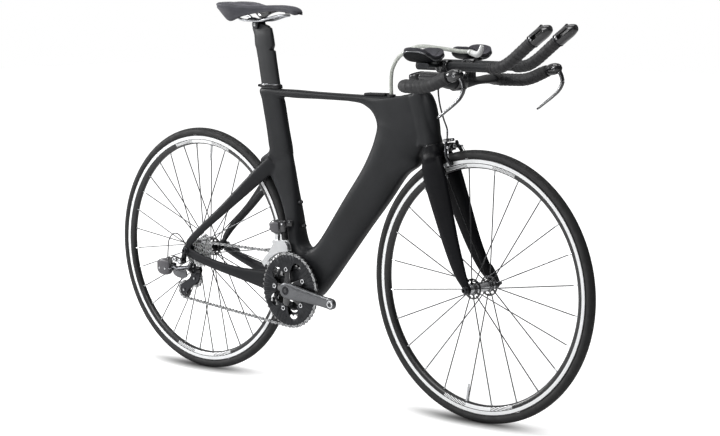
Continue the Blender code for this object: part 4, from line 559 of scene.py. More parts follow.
def metal(name, colour, roughness, stretch=(1, 1, 1)):
    """Bare or anodised metal: fine tool marks, stretched the way that the tool ran."""
    made = Finish(name, colour, roughness, 1.0)
    marks = made.noise(240, 4, stretch, 0.65)
    made.roughness(made.span(marks, roughness - 0.08, roughness + 0.1))
    darker = [c * (1 - 0.12) for c in colour]
    made.colour(made.mix(made.span(made.noise(35, 4), 0, 1), darker, colour))
    made.bump(marks, 0.06, 0.0002)
    return made.look


def rubber(name, colour, roughness=0.75, grain=1400, deep=0.25):
    made = Finish(name, colour, roughness)
    made.mottled(colour, 0.25, 40)
    made.roughness(made.span(made.noise(90, 4), roughness - 0.1, roughness + 0.1))
    made.bump(made.noise(grain, 3), deep, 0.0003)
    return made.look


def tape(name):
    """Bar tape: strips wound at a slant, each with a raised edge, over a dimpled face."""
    strip, colour = 0.022, (0.0095, 0.0095, 0.011)
    made = Finish(name, colour, 0.6)
    u, v = made.wrap()
    lap = made.sum("FRACT", made.sum("ADD", made.sum("DIVIDE", u, strip), v))
    seam = made.either(made.between(lap, 0.93, 1.01), made.between(lap, -0.01, 0.05))
    grain = made.noise(1500, 2)
    cells = made.node("ShaderNodeTexVoronoi", Vector=made.place())
    cells.inputs["Scale"].default_value = 650
    shade = made.mix(made.span(made.noise(70, 4), 0, 1), colour, (0.017, 0.017, 0.019))
    shade = made.mix(seam, shade, (0.005,) * 3)
    made.colour(shade)
    made.roughness(made.span(made.noise(120, 4), 0.5, 0.72))
    made.bump(cells.outputs["Distance"], 0.35, 0.0006)
    made.bump(grain, 0.15, 0.0003)
    made.bump(made.sum("SMOOTH_MIN", lap, 0.5, 0.4), 0.8, 0.0016)
    return made.look


def cover(name, colour, grain=900, deep=0.3, sheen=0.15, roughness=0.55):
    """The saddle's cover: pebbled synthetic leather with a slight sheen."""
    made = Finish(name, colour, roughness)
    cells = made.node("ShaderNodeTexVoronoi", Vector=made.place())
    cells.inputs["Scale"].default_value = grain
    made.set("Sheen Weight", sheen)
    made.set("Sheen Roughness", 0.4)
    made.set("Sheen Tint", (0.7, 0.68, 0.8, 1))
    made.mottled(colour, 0.25, 28)
    made.roughness(made.span(made.noise(60, 4), roughness - 0.1, roughness + 0.12))
    made.bump(cells.outputs["Distance"], deep, 0.0005)
    return made.look


def tyre_finish(name):
    """Tyre rubber: a smooth centre band, a fine file pattern beside it and ribbed side walls.
    v runs once round the section, from the left bead over the tread to the right bead."""
    made = Finish(name, (0.009, 0.009, 0.0095), 0.7)
    u, v = made.wrap()
    from_middle = made.sum("ABSOLUTE", made.sum("SUBTRACT", v, 0.4375))
    shoulder = made.between(from_middle, 0.1, 0.24)
    wall = made.sum("GREATER_THAN", from_middle, 0.27)
    slant = made.sum("ADD", made.sum("MULTIPLY", u, 900.0), made.sum("MULTIPLY", from_middle, 60.0))
    teeth = made.sum("FRACT", slant)
    ribs = made.sum("FRACT", made.sum("MULTIPLY", from_middle, 70.0))
    pattern = made.sum("MULTIPLY", shoulder, made.sum("GREATER_THAN", teeth, 0.55))
    shade = made.mix(wall, (0.005, 0.005, 0.0056), (0.0085, 0.0085, 0.0092))
    shade = made.mix(made.span(made.noise(25, 5), 0, 0.6), shade, (0.008, 0.008, 0.0084))
    made.colour(shade)
    made.roughness(made.span(made.noise(60, 4), 0.6, 0.8))
    made.bump(made.noise(1100, 3), 0.2, 0.0003)
    made.bump(made.sum("MULTIPLY", wall, ribs), 0.2, 0.0003)
    made.bump(pattern, 0.5, 0.0005)
    return made.look


def rim_finish(end):
    """Black anodised rim: a thin bright line near the tyre, and at the top and bottom a pale panel
    crossed by slanted dark bars. Angles are in radians from the top, and radii in metres."""
    half_panel, half_middle = 0.36, 0.13
    made = Finish(f"{end}_rim_finish", (0.016, 0.016, 0.018), 0.3)
    x, z, radius = made.about(HUB[end][0], WHEEL_RADIUS)
    angle = made.sum("ARCTAN2", x, z)
    track = made.between(radius, 0.3028, 0.3112)
    half_turn = made.sum("ABSOLUTE", angle)

    def at_top_or_foot(reach):
        top = made.sum("LESS_THAN", half_turn, reach)
        return made.either(top, made.sum("GREATER_THAN", half_turn, math.pi - reach))

    zone = made.sum("MULTIPLY", at_top_or_foot(half_panel), made.between(radius, 0.2925, 0.3012))
    slant = made.sum("ADD", made.sum("MULTIPLY", angle, 24.0), made.sum("MULTIPLY", radius, 260.0))
    bars = made.sum("GREATER_THAN", made.sum("FRACT", slant), 0.42)
    middle = at_top_or_foot(half_middle)
    panel = made.sum("MULTIPLY", zone, made.either(bars, middle))
    pale = made.either(track, panel)
    shade = made.mix(made.span(made.noise(30, 4), 0, 1), (0.008, 0.008, 0.0088), (0.014, 0.014, 0.0152))
    made.colour(made.mix(pale, shade, (0.86, 0.87, 0.88)))
    made.roughness(made.span(made.noise(200, 4), 0.24, 0.38))
    made.bump(made.noise(500, 3), 0.05, 0.0002)
    return made.look


def clear_hose(name):
    made = Finish(name, (0.5, 0.52, 0.48), 0.3)
    made.set("Transmission Weight", 0.12)
    made.set("Subsurface Weight", 0.15)
    made.set("Subsurface Radius", (0.004, 0.004, 0.004))
    made.mottled((0.5, 0.52, 0.48), 0.06, 40)
    made.roughness(made.span(made.noise(80, 3), 0.16, 0.32))
    made.bump(made.noise(300, 2), 0.05, 0.0003)
    return made.look


CARBON = carbon("satin_carbon", (0.016, 0.0168, 0.0185))
FORK_CARBON = carbon("fork_carbon", (0.0045, 0.0047, 0.006), 0.34, 0.44, 0.08)
POST_CARBON = carbon("post_carbon", (0.018, 0.019, 0.021), 0.4, 0.5, 0.26)
GLOSS = gloss("gloss_black")
POD = gloss("pod_black", (0.014, 0.014, 0.016), 0.22)
DARK_METAL = metal("dark_anodised", (0.045, 0.046, 0.05), 0.34)
CRANK_GREY = metal("crank_grey", (0.15, 0.153, 0.16), 0.3, (1, 4, 1))
BRIGHT = metal("bright_alloy", (0.72, 0.73, 0.75), 0.2)
STEEL = metal("steel", (0.56, 0.57, 0.58), 0.26)
CHAIN_STEEL = metal("chain_steel", (0.4, 0.405, 0.41), 0.3)
CHAIN_DARK = metal("chain_inner_steel", (0.16, 0.162, 0.165), 0.34)
PIN_DARK = metal("chain_pin", (0.04, 0.04, 0.042), 0.4)
CAGE_BRIGHT = metal("cage_bright", (0.6, 0.61, 0.62), 0.36)
SPOKE_STEEL = metal("spoke_steel", (0.07, 0.071, 0.074), 0.36)
MOTOR_GREY = carbon("motor_grey", (0.075, 0.073, 0.08), 0.3, 0.42, 0.4)
BOLT_DARK = metal("dark_bolt", (0.09, 0.09, 0.095), 0.3)
TAPE = tape("bar_tape")
BLACK_RUBBER = rubber("black_rubber", (0.014, 0.014, 0.015), 0.7)
PAD_RUBBER = rubber("brake_pad_rubber", (0.02, 0.02, 0.021), 0.8, 1500, 0.3)
SADDLE_COVER = cover("saddle_cover", (0.045, 0.045, 0.056))
SADDLE_PANEL = cover("saddle_panel", (0.012, 0.012, 0.014), 700, 0.2, 0.05, 0.4)
PAD_COVER = cover("pad_cover", (0.028, 0.0275, 0.034), 1600, 0.5, 0.3, 0.8)
HOSE = clear_hose("clear_hose")
WHITE_PLASTIC = gloss("white_plastic", (0.75, 0.76, 0.76), 0.3)
HOUSING = rubber("cable_housing", (0.018, 0.018, 0.02), 0.45, 600, 0.08)
TYRE = tyre_finish("tyre_rubber")


# The frame


def moulding_loop(stations):
    """The front triangle: each ring runs from an inner point to an outer point. A ring's point is
    middle + half the way across * cos(t)^power in the frame's plane, and width * sin(t)^power in y."""
    line = flow(stations, 420, True)
    inner, outer, half = line[:, 0:2], line[:, 2:4], line[:, 4:5]
    middle, reach = (inner + outer) / 2, (outer - inner) / 2
    c, s = ring_of(36, 0.62)
    flat = middle[:, None] + reach[:, None] * c[:, None]
    return skin(np.stack([flat[..., 0], half * s, flat[..., 1]], -1), True)


def on_axis(along, ahead=0.0):
    """A place measured along the steering axis and ahead of it."""
    c, s = math.cos(HEAD_LEAN), math.sin(HEAD_LEAN)
    return (HEAD_POINT[0] - s * along + c * ahead, 0.0, HEAD_POINT[1] + c * along + s * ahead)


HEAD_WAY = np.subtract(on_axis(4), on_axis(HEAD_FOOT))


def by_wheel(angle):
    """A point on the cut-out round the rear wheel."""
    radius, turn = 342, math.radians(angle)
    return (radius * math.cos(turn), WHEEL_RADIUS + radius * math.sin(turn))


def two_sides(shape):
    return [shape, mirrored(shape)]


def slot_cut(x, y):
    """The cut for an axle: round over it and open below."""
    radius = 5.4
    t = np.linspace(0, math.pi, 9)
    arch = np.column_stack([x + radius * np.cos(t), WHEEL_RADIUS + radius * np.sin(t)])
    feet = [(x - radius, WHEEL_RADIUS - 40), (x + radius, WHEEL_RADIUS - 40)]
    return plate(np.vstack([arch, feet]), y, 16)


TRIANGLE = [
    ((303, 764), (227, 787), 14.5),
    ((308, 750), (232, 752), 14.5),
    ((323, 680), (246, 690), 14.5),
    ((333, 640), (255, 640), 14.5),
    ((336, 620), (256, 620), 14.5),
    ((339, 610), (222, 594), 12),
    ((345, 580), by_wheel(42), 14),
    ((356, 524), by_wheel(34), 16),
    ((364, 484), by_wheel(26), 19),
    ((370, 448), by_wheel(18), 22),
    ((374, 412), by_wheel(9), 26),
    ((381, 389), by_wheel(0), 30),
    ((390, 379), (338, 285), 33),
    ((399, 376), (352, 240), 33),
    ((408, 376), (385, 228), 33),
    ((417, 379), (420, 240), 31),
    ((431, 387), (452, 261), 28),
    ((457, 416), (536, 358), 25),
    ((527, 511), (606, 441), 25),
    ((590, 593), (673, 518), 26),
    ((623, 649), (729, 586), 26),
    ((637, 685), (772, 616), 26),
    ((642, 706), (777, 640), 25),
    ((640, 719), (797, 666), 25),
    ((634, 730), (832, 684), 24),
    ((627, 739), (836, 706), 23),
    ((618, 747), (830, 745), 22),
    ((607, 753), (820, 778), 21),
    ((596, 758), (802, 799), 20),
    ((583, 762), (768, 797), 19),
    ((568, 764), (738, 790), 18),
    ((552, 765), (700, 786), 17),
    ((528, 766), (600, 784), 16),
    ((438, 766), (440, 785), 15),
    ((360, 765), (360, 787), 14.5),
    ((325, 766), (305, 787), 14.5),
]
SEAT_STAY = [
    (276, -10, 592, 7, 21),
    (250, -18.5, 569, 8, 20.5),
    (222, -28, 543, 8, 19),
    (180, -40, 504, 8, 16.5),
    (122, -51, 454, 7.5, 13),
    (53, -60, 399, 7, 11),
    (14, -67, 363, 4.5, 11),
    (3, -69, 347, 3.2, 9),
]
CHAIN_STAY = [
    (352, -24, 262, 9.5, 24),
    (300, -25, 270, 8, 28),
    (262, -28, 277, 8, 26),
    (222, -36, 283, 8, 21),
    (180, -45, 289, 7.5, 16.5),
    (115, -56, 301, 7, 13.5),
    (60, -64, 314, 6, 13),
    (22, -68.2, 326, 3.8, 13),
    (8, -69, 331, 3.3, 10),
]


def make_frame():
    """The front triangle, the head tube, the stays and the dropouts run together as one moulding."""
    loop = moulding_loop([(*inner, *outer, half) for inner, outer, half in TRIANGLE])
    shell = lathe([(21.5, -34), (28, -34), (29, -31), (29, 31), (28, 34), (21.5, 34)], CRANK_PLACE,
        steps=64)
    head_profile = [(24.3, 0), (24.6, 2), (24.4, 6), (20.6, 132), (20.7, 139), (20.3, 140.9)]
    head = lathe(head_profile, on_axis(HEAD_FOOT), HEAD_WAY, 64, hollow=False)
    boss = [
        (*beside(0.0, -20, 345, 0), 7, 20),
        (*beside(0.0, -20, 359, 0), 9, 23),
        (*beside(0.0, -20, 378, 14), 16, 24),
    ]
    hanger_outline = [(-4, 340), (-16, 336), (-23, 316)]
    t = np.radians(np.linspace(190, 350, 12))
    hanger_outline += [(HANGER_X + 9 * c, HANGER_Z + 9 * s) for c, s in zip(np.cos(t), np.sin(t))]
    hanger_outline += [(-2, 318)]
    fairing = [(*on_axis(along, -12), half, half + 12)
        for along, half in ((-130, 24.3), (-60, 22.6), (-3, 20.8))]
    solids = [loop, shell, head, tube(fairing, 30, 40, AHEAD, 0.8)]
    solids += [tube(boss, 12, 24, ACROSS), plate(hanger_outline, -DROPOUT_Y, 6.2)]
    stay = tube(SEAT_STAY, 90, 24, power=0.85)
    low_stay = tube(CHAIN_STAY, 90, 24, power=0.85)
    dropout = [(15.5, -3.5), (17, -2.6), (17, 2.6), (15.5, 3.5)]
    solids += two_sides(stay) + two_sides(low_stay)
    ends = (-DROPOUT_Y, DROPOUT_Y)
    solids += [lathe(dropout, (0, y, WHEEL_RADIUS), hollow=False) for y in ends]
    cuts = [slot_cut(0, y) for y in ends]
    moulded("frame_moulding", solids, "frame", CARBON, ["frame"], 2.7, 4, 0.5, cuts)


def beside(wheel_x, angle, radius, tangent=0.0, y=0.0):
    """A place by a wheel: so far from its axle at an angle, and along the rim from there."""
    c, s = math.cos(math.radians(angle)), math.sin(math.radians(angle))
    return (wheel_x + radius * c - tangent * s, y, WHEEL_RADIUS + radius * s + tangent * c)


def ring_about(centre, way, radius, thick):
    """A round bead: a small circle carried round a larger one."""
    t = turns_of(12)
    return lathe(np.column_stack([radius + thick * np.cos(t), thick * np.sin(t)]), centre, way, 40)


def make_frame_trim():
    """The headset's upper ring, the top tube's lid and its screws, bottle bolts and the hose's collar."""
    cap = [(14.6, 4.0), (20.6, 4.0), (20.9, 5.4), (20.4, 8.2), (16.5, 9.6), (14.6, 9.8)]
    upper = lathe(cap, on_axis(0), HEAD_WAY, 64)
    piece("headset_cap", upper, "steering", GLOSS)
    lid = [(603, 0, 786.6, 10.5, 2.8), (605, 0, 786.8, 11.6, 3.6), (664, 0, 788.0, 12.2, 3.6),
        (668, 0, 788.0, 11, 2.8)]
    piece("top_tube_lid", tube(lid, 30, 32, power=0.4), "frame", CARBON)
    screws = [bolt((x, 0, 790 + (x - 612) * 0.02), UP, 2.4, 1.2) for x in (612, 659)]
    piece("top_tube_lid_screws", screws, "frame", BOLT_DARK)
    collar = lathe([(5.3, -3), (8.2, -3), (8.4, -0.5), (6.8, 1.8), (5.5, 2.2)], (694, -14, 788), UP, 32)
    piece("hose_collar", [collar, ring_about((694, -14, 788.4), UP, 9.4, 1.7)], "frame", BLACK_RUBBER)
    bolts = []
    for x, z in ((366, 492), (378, 430)):
        way = (0.98, 0, 0.2)
        bolts += [rod(np.add((x - 2, 0, z), 0), np.add((x + 4.2, 0, z), (0, 0, 0.85)), 6.2, 28, 5.6, 0.5)]
        bolts += [bolt((x + 4.0, 0, z + 0.8), way, 4.1, 3.0)]
    piece("bottle_bolts", bolts, "frame", BOLT_DARK)


def post_middle(z):
    """The middle of the leaning seatpost's depth, at a height."""
    return 229 + POST_SLOPE * (787 - z) + 33


def make_collar():
    """The clamp round the seatpost: a thin bright line where it meets the frame, and its bolt."""
    x = post_middle(COLLAR_Z)
    c, s = ring_of(72, 0.8)

    def band(levels):
        rows = []
        for z, a, b in levels:
            middle = x - POST_SLOPE * (z - COLLAR_Z)
            rows.append(np.column_stack([middle + a * c, b * s, np.full(72, z)]))
        return skin(np.stack(rows))

    grown = ((787.7, -0.8), (788.6, 0.2), (796.6, 0.3), (797.8, -0.7))
    ring = band([(z, 37.2 + grow, 14.8 + grow) for z, grow in grown])
    lug = box_shape((x - 43.5, -6, 789.5), (x - 34, 6, 797))
    piece("seat_collar_band", [ring, lug], "frame", GLOSS, ["seat_collar"], 0.8)
    line = band(((797.4, 34.6, 12.0), (798.8, 34.3, 11.7)))
    piece("seat_collar_line", line, "frame", CRANK_GREY)
    piece("seat_collar_bolt", bolt((x - 39.5, -6, 793.3), (0, -1, 0), 2.9, 2.4), "frame", BOLT_DARK)


def make_seatpost():
    """A deep blade that leans back, with a notch under the saddle clamp and a thin neck."""
    rings = []
    plan = [(655, 33, 10.5, 0), (700, 33, 10.5, 0), (872, 33, 10.5, 0), (900, 35, 10.5, -1)]
    plan += [(925, 34, 10.0, 0), (938, 35, 8.8, -1.6), (946, 35.5, 8.2, -2.6)]
    for z, chord, half, shift in plan:
        rings.append((post_middle(z) + shift, z, chord, half))
    line = flow(rings, 70)
    c, s = ring_of(48, 0.8)
    x = line[:, 0:1] + line[:, 2:3] * c
    blade = skin(np.stack([x, line[:, 3:4] * s, np.broadcast_to(line[:, 1:2], x.shape)], -1))
    neck = tube([(230, 0, 932, 31, 7.4), (230, 0, 944, 29, 7.4), (233, 0, 956, 25, 7.2)], 12, 32,
        ACROSS, 0.7)
    neck = [neck, rod((SADDLE_X, -8.2, SADDLE_Z), (SADDLE_X, 8.2, SADDLE_Z), 9.5, 32)]
    notch = plate([(290, 908), (273, 904), (263.5, 890), (264.5, 887), (280, 884.5), (290, 884)], 0, 40)
    moulded("seatpost_blade", [blade, *neck], "seatpost", POST_CARBON, ["seatpost"], 1.6, 2, 0.5, [notch])
    pin = rod((SADDLE_X, -16, SADDLE_Z), (SADDLE_X, 16, SADDLE_Z), 4.9, 24, edge=0.6)
    piece("seatpost_pin", pin, "seatpost", STEEL)


# The saddle

SADDLE = [
    (107, 30, 1007, 1001, 999),
    (112, 55, 1012, 1005, 999),
    (126, 66, 1013.5, 1005, 995.5),
    (140, 69, 1012.6, 1004, 986),
    (152, 69, 1011, 1003, 976),
    (163, 67.5, 1009.5, 1001.5, 967.5),
    (176, 64, 1007, 1000, 965.5),
    (200, 54, 1004.5, 997, 976),
    (228, 42, 1004.5, 996, 983.5),
    (262, 30, 1005.5, 996, 988.5),
    (300, 22.5, 1006, 996, 990.5),
    (335, 19.5, 1003, 993, 988),
    (356, 17, 997, 989, 982.5),
    (367, 10, 990, 986, 981),
]
COVER_SIDE = [(0.89, 1.98), (0.93, 2.04), (0.96, 1.94), (0.955, 1.65), (0.965, 1.3), (0.995, 0.95),
    (0.985, 0.6)]
COVER_SIDE += [(0.92, 0.3), (0.74, 0.08), (0.42, 0.0), (0.15, 0.0)]
COVER_UNDER = [(0.1, 1.12), (0.6, 1.14), (0.8, 1.2), (0.88, 1.4), (0.875, 1.75)]


def saddle_rows(rows, section, channel=0.0):
    """The saddle's surface: each row is an outline of (out, level) carried along the length. Level 0 is
    the crown, 1 the shoulder and 2 the lower edge, with straight steps between them, and a groove of
    the form exp(-(y / 9 mm)^2) runs down the middle of the crown."""
    line = flow(SADDLE, rows)
    x, half, crown, edge, low = (line[:, k : k + 1] for k in range(5))
    out, level = (floats(section)[:, k][None] for k in range(2))
    along = np.clip((x - 112) / 20, 0, 1) * np.clip((340 - x) / 30, 0, 1)
    groove = channel * along * np.exp(-((out * half / 9.0) ** 2)) * (level < 0.9)
    z = crown - (crown - edge) * np.minimum(level, 1) - (edge - low) * np.maximum(level - 1, 0) - groove
    return np.stack([np.broadcast_to(x, z.shape), half * out, z], -1)


def both_ways(side):
    """An outline of (out, level) from its right end over the middle to its left end."""
    return [(-out, level) for out, level in side] + [(out, level) for out, level in side[::-1]]


def make_saddle():
    """The cover wraps over the sides down to the raked lower edge, with the shell just inside it."""
    over = flow(both_ways(COVER_SIDE), 76)
    under = flow(both_ways(COVER_UNDER[::-1])[::-1], 40)
    section = np.vstack([over, under])
    pad = piece("saddle_cushion", skin(saddle_rows(130, section, 3.4)), "saddle", SADDLE_COVER,
        ["saddle_pad"], angle=60)
    lining = flow(both_ways([(0.86, 1.9), (0.865, 1.7), (0.87, 1.45), (0.79, 1.26), (0.59, 1.2),
        (0.1, 1.18)]), 60)
    outside = saddle_rows(130, lining)[8:-7]
    inside = outside * (1, 0.955, 1) - (0, 0, 2.4)
    inside[:, [0, -1]] = outside[:, [0, -1]] * (1, 0.97, 1)
    shell = skin(np.concatenate([outside, inside[:, ::-1]], 1))
    lugs = []
    for side in (-1, 1):
        lugs.append(tube([(145, side * 30, 997, 7, 6), (139, side * 30, 984, 6, 5)], 8, 20, AHEAD, 0.7))
    lugs.append(tube([(325, 0, 990, 9, 8), (325, 0, 983.5, 8, 7)], 8, 20, AHEAD, 0.7))
    piece("saddle_base", [shell, *lugs], "saddle", GLOSS, ["saddle_shell"], angle=50)
    rails = [(138, 30, 979), (146, 28.5, 976), (154, 27, 975), (174, 22, 967), (196, 22, 965),
        (241, 22, 965)]
    rails += [(268, 22, 970), (300, 17, 977), (319, 9, 979)]
    path = [(x, -y, z) for x, y, z in rails] + [(325, 0, 979)] + rails[::-1]
    rail = cable(path, 3.5, 150, 16)
    piece("saddle_rail", rail, "saddle", metal("rail_metal", (0.45, 0.46, 0.48), 0.3), ["saddle_rails"])
    seam = []
    for side in (-1, 1):
        edge_line = saddle_rows(120, [(side * 0.935, 2.03)])[:, 0]
        seam.append(cable(edge_line[4:-3:4], 0.8, 110, 8))
        panel_line = saddle_rows(120, [(side * 0.86, 0.19)])[:, 0]
        seam.append(cable(panel_line[7:84:4], 0.5, 90, 8))
    tail = saddle_rows(120, flow([(-0.86, 0.19), (-0.5, 0.0), (0, 0.0), (0.5, 0.0), (0.86, 0.19)],
        30), 3.4)[7]
    seam.append(cable(tail[::2], 0.5, 60, 8))
    piece("saddle_welt", seam, "saddle", SADDLE_PANEL)


def make_saddle_clamp():
    """The cradle: a block under the rails on two ears, and a lid over them with a bolt each side."""
    foot = [(SADDLE_X + x, 0, 965.2, a, b)
        for x, a, b in ((-17, 17.6, 4.6), (0, 17.8, 4.8), (17, 17.6, 4.6))]
    shapes = [tube(foot, 10, 32, power=0.5)]
    for side in (-1, 1):
        ear = [(8.5, 0), (10.4, 0.6), (11, 1.6), (11, 6.2), (10.2, 7.1), (5, 7.1)]
        shapes.append(lathe([(5.2, 0), *ear], (SADDLE_X, side * 8.5, SADDLE_Z), (0, side, 0), 40))
        arm = [(SADDLE_X, side * 12, 958, 3.4, 9), (SADDLE_X, side * 12, 964, 3.4, 12)]
        shapes.append(tube(arm, 6, 24, AHEAD, 0.6))
    piece("saddle_cradle", shapes, "saddle", DARK_METAL, ["saddle_clamp"], 0.4)
    lids = []
    for side in (-1, 1):
        lid = ((-13, 968.6, 6.4, 2.6), (0, 970.2, 6.6, 3.2), (13, 968.6, 6.4, 2.6))
        lids.append(tube([(SADDLE_X + x, side * 22, z, a, b) for x, z, a, b in lid], 10, 24, power=0.6))
    piece("saddle_clamp_lids", lids, "saddle", DARK_METAL)
    bolts = [bolt((SADDLE_X, side * 15.8, SADDLE_Z), (0, side, 0), 4.6, 2.6) for side in (-1, 1)]
    piece("saddle_clamp_bolts", bolts, "saddle", STEEL)


# The fork


def make_fork():
    """The crown and two blades with room cut for the tyre, then the steerer and the lower race."""
    rings = []
    for along, ahead, a, b in (
        (-136.8, -0.5, 23.2, 23.2),
        (-144.3, 0, 28, 28.5),
        (-156.3, 3, 32, 36),
        (-168.3, 5, 33, 40),
        (-174.3, 6, 32, 40),
    ):
        centre = np.array(on_axis(along, ahead))
        rings.append((*centre, a, b))
    line = flow(rings, 24)
    c, s = (values[None, :, None] for values in ring_of(44, 0.72))
    lean = np.array((math.cos(HEAD_LEAN), 0, math.sin(HEAD_LEAN)))
    across = line[:, None, 3:4] * c * lean
    grid = line[:, None, :3] + across + line[:, None, 4:5] * s * np.array((0, 1.0, 0))
    crown = skin(grid)
    blade = [
        (836, -27, 641, 31, 9.5),
        (843, -30, 614, 35, 9.5),
        (855, -32.5, 580, 35, 9),
        (883, -37.4, 508, 30, 8.5),
        (912, -42.5, 436, 24, 8),
        (941, -48.5, 378, 19, 6.5),
        (962, -53.3, 348, 13, 4.5),
        (967, -53.8, 341, 12, 3.6),
    ]
    side = tube(blade, 80, 28, ACROSS, 0.85)
    tip = [(11.6, -3.3), (13, -2.4), (13, 2.4), (11.6, 3.3)]
    ends = (-FORK_TIP_Y, FORK_TIP_Y)
    solids = [crown, *two_sides(side)]
    solids += [lathe(tip, (WHEELBASE, y, WHEEL_RADIUS), steps=40, hollow=False) for y in ends]
    angles = np.radians(np.linspace(90, 152, 20))
    room = []
    for r, way in ((341, angles), (290, angles[::-1])):
        room += [(WHEELBASE + r * c, WHEEL_RADIUS + r * s) for c, s in zip(np.cos(way), np.sin(way))]
    cuts = [plate(room, 0, 29)] + [slot_cut(WHEELBASE, y) for y in ends]
    moulded("fork_moulding", solids, "steering", FORK_CARBON, ["fork"], 2.2, 4, 0.5, cuts)
    steerer = lathe([(14.2, 0), (14.2, 172)], on_axis(-136), np.subtract(on_axis(1), on_axis(0)),
        40, hollow=False)
    piece("fork_steerer", steerer, "steering", FORK_CARBON)
    race = [(16, -1.4), (24.4, -1.4), (24.9, -0.3), (24.6, 0.4), (16, 0.4)]
    piece("lower_headset_ring", lathe(race, on_axis(-136.2), HEAD_WAY, 64), "steering", GLOSS)


# The bars


BAR_HALF = [
    (1025, -192, 853, 12, 12),
    (1020, -192, 852, 15, 15),
    (1002, -192, 845, 16, 16),
    (975, -192, 834, 16, 16),
    (947, -192, 827.5, 16, 16),
    (909, -192, 826, 16, 16),
    (897, -191, 826, 16, 16),
    (883, -184, 826, 17.5, 16),
    (876, -170, 827, 19, 14),
    (876, -148, 828, 20, 11),
    (883, -112, 828, 20, 8),
    (890, -70, 828, 19, 8),
    (893, -36, 828, 16.5, 15.8),
    (893, -18, 828, 15.8, 15.8),
]


def wrapped(stations, rows, thick, pitch=13.0):
    """A bar with tape on it: the tube's half sizes grow by the tape, and each ring's point stands out
    by a low saw tooth of (length / pitch + turn), so that every lap lies on the one before."""
    sides = 32
    centre = flow(stations, rows)[:, :3]
    step = np.linalg.norm(np.diff(centre, axis=0), axis=1)
    length = np.concatenate([[0], np.cumsum(step)])
    grid = tube(stations, rows, sides)["points"].reshape(rows, sides, 3)
    lap = (length[:, None] / pitch + np.arange(sides)[None] / sides) % 1.0
    lift = thick * (0.55 + 0.45 * lap)
    out = unit(grid - centre[:, None])
    return skin(grid + out * lift[..., None])


def make_base_bar():
    """The wing with its two horns, and the tape wound on each horn up to the lever's housing."""
    line = BAR_HALF + [(x, -y, z, a, b) for x, y, z, a, b in BAR_HALF[::-1]]
    inner = []
    for x, y, z, a, b in line:
        less = 2.2 if abs(y) > 150 else 0
        inner.append((x, y, z, a - less, b - less))
    bar = tube(inner, 300, 32, up=(0.25, 0, 1))
    piece("base_bar_wing", bar, "steering", CARBON, ["base_bar"])
    for side, name in SIDES:
        horn = [(x, -side * y, z, a - 2.0, b - 2.0) for x, y, z, a, b in BAR_HALF[1:9]]
        grip = wrapped(horn, 150, 2.0)
        piece(f"horn_tape_{name}", grip, "steering", TAPE)
        band = [(x, -side * y, z, a + 0.5, b + 0.5) for x, y, z, a, b in BAR_HALF[8:10]]
        middle = [tuple(np.array(band[0]) * (1 - k) + np.array(band[1]) * k) for k in (0.0, 0.25, 0.5)]
        piece(f"horn_tape_end_{name}", tube(middle, 10, 32), "steering", BLACK_RUBBER)


def make_stem():
    """The column on the steerer, the arm and the clamp round the bar, with a cap and bolts."""
    lean = np.subtract(on_axis(1), on_axis(0))
    column = lathe([(20.5, 0), (21.8, 1.2), (22, 4), (22, 33), (21.4, 36.4), (19, 37.2)],
        on_axis(7), lean, 64, hollow=False)
    arm = tube([(785, 0, 838, 17, 12), (800, 0, 838, 17.2, 12.4), (826, 0, 838, 16, 11.5),
        (858, 0, 836, 15.6, 11.4), (881, 0, 833, 16, 12)], 40, 32, power=0.8)
    clamp = lathe([(19.6, -17.4), (21.4, -16.4), (21.4, 16.4), (19.6, 17.4)], (BAR_X, 0, BAR_Z),
        ACROSS, 64, hollow=False)
    moulded("stem_body", [column, arm, clamp], "steering", POD, ["stem"], 1.5, 4, 0.5)
    cap = [(16, -0.2), (20.6, -0.2), (20.6, 1.6), (18.6, 3.0), (6.4, 3.2)]
    top = lathe(cap, on_axis(44.2), lean, 56, hollow=False)
    piece("stem_top_cap", top, "steering", GLOSS)
    bolts = [bolt(on_axis(47.0), lean, 5.6, 2.2)]
    for y in (-11, 11):
        for z in (-15, 15):
            bolts.append(bolt((BAR_X + 14.6, y, BAR_Z + z), AHEAD, 3.1, 3.2))
            root, tip = (BAR_X + 4, y, BAR_Z + z * 1.05), (BAR_X + 15, y, BAR_Z + z)
            bolts.append(rod(root, tip, 4.6, 24, 4.4, 0.5))
    for along in (14, 31):
        where = np.array(on_axis(along, -21.0))
        bolts.append(rod(where + (3, -9, 0), where + (3, 9, 0), 4.8, 24, edge=0.6))
        bolts.append(bolt(where + (3, -9, 0), (0, -1, 0), 3.0, 2.0))
    piece("stem_bolts", bolts, "steering", BOLT_DARK)


def round_stations(points, y):
    """Stations of round rings in the plane at y, from x, z and radius."""
    return [(x, y, z, radius, radius) for x, z, radius in points]


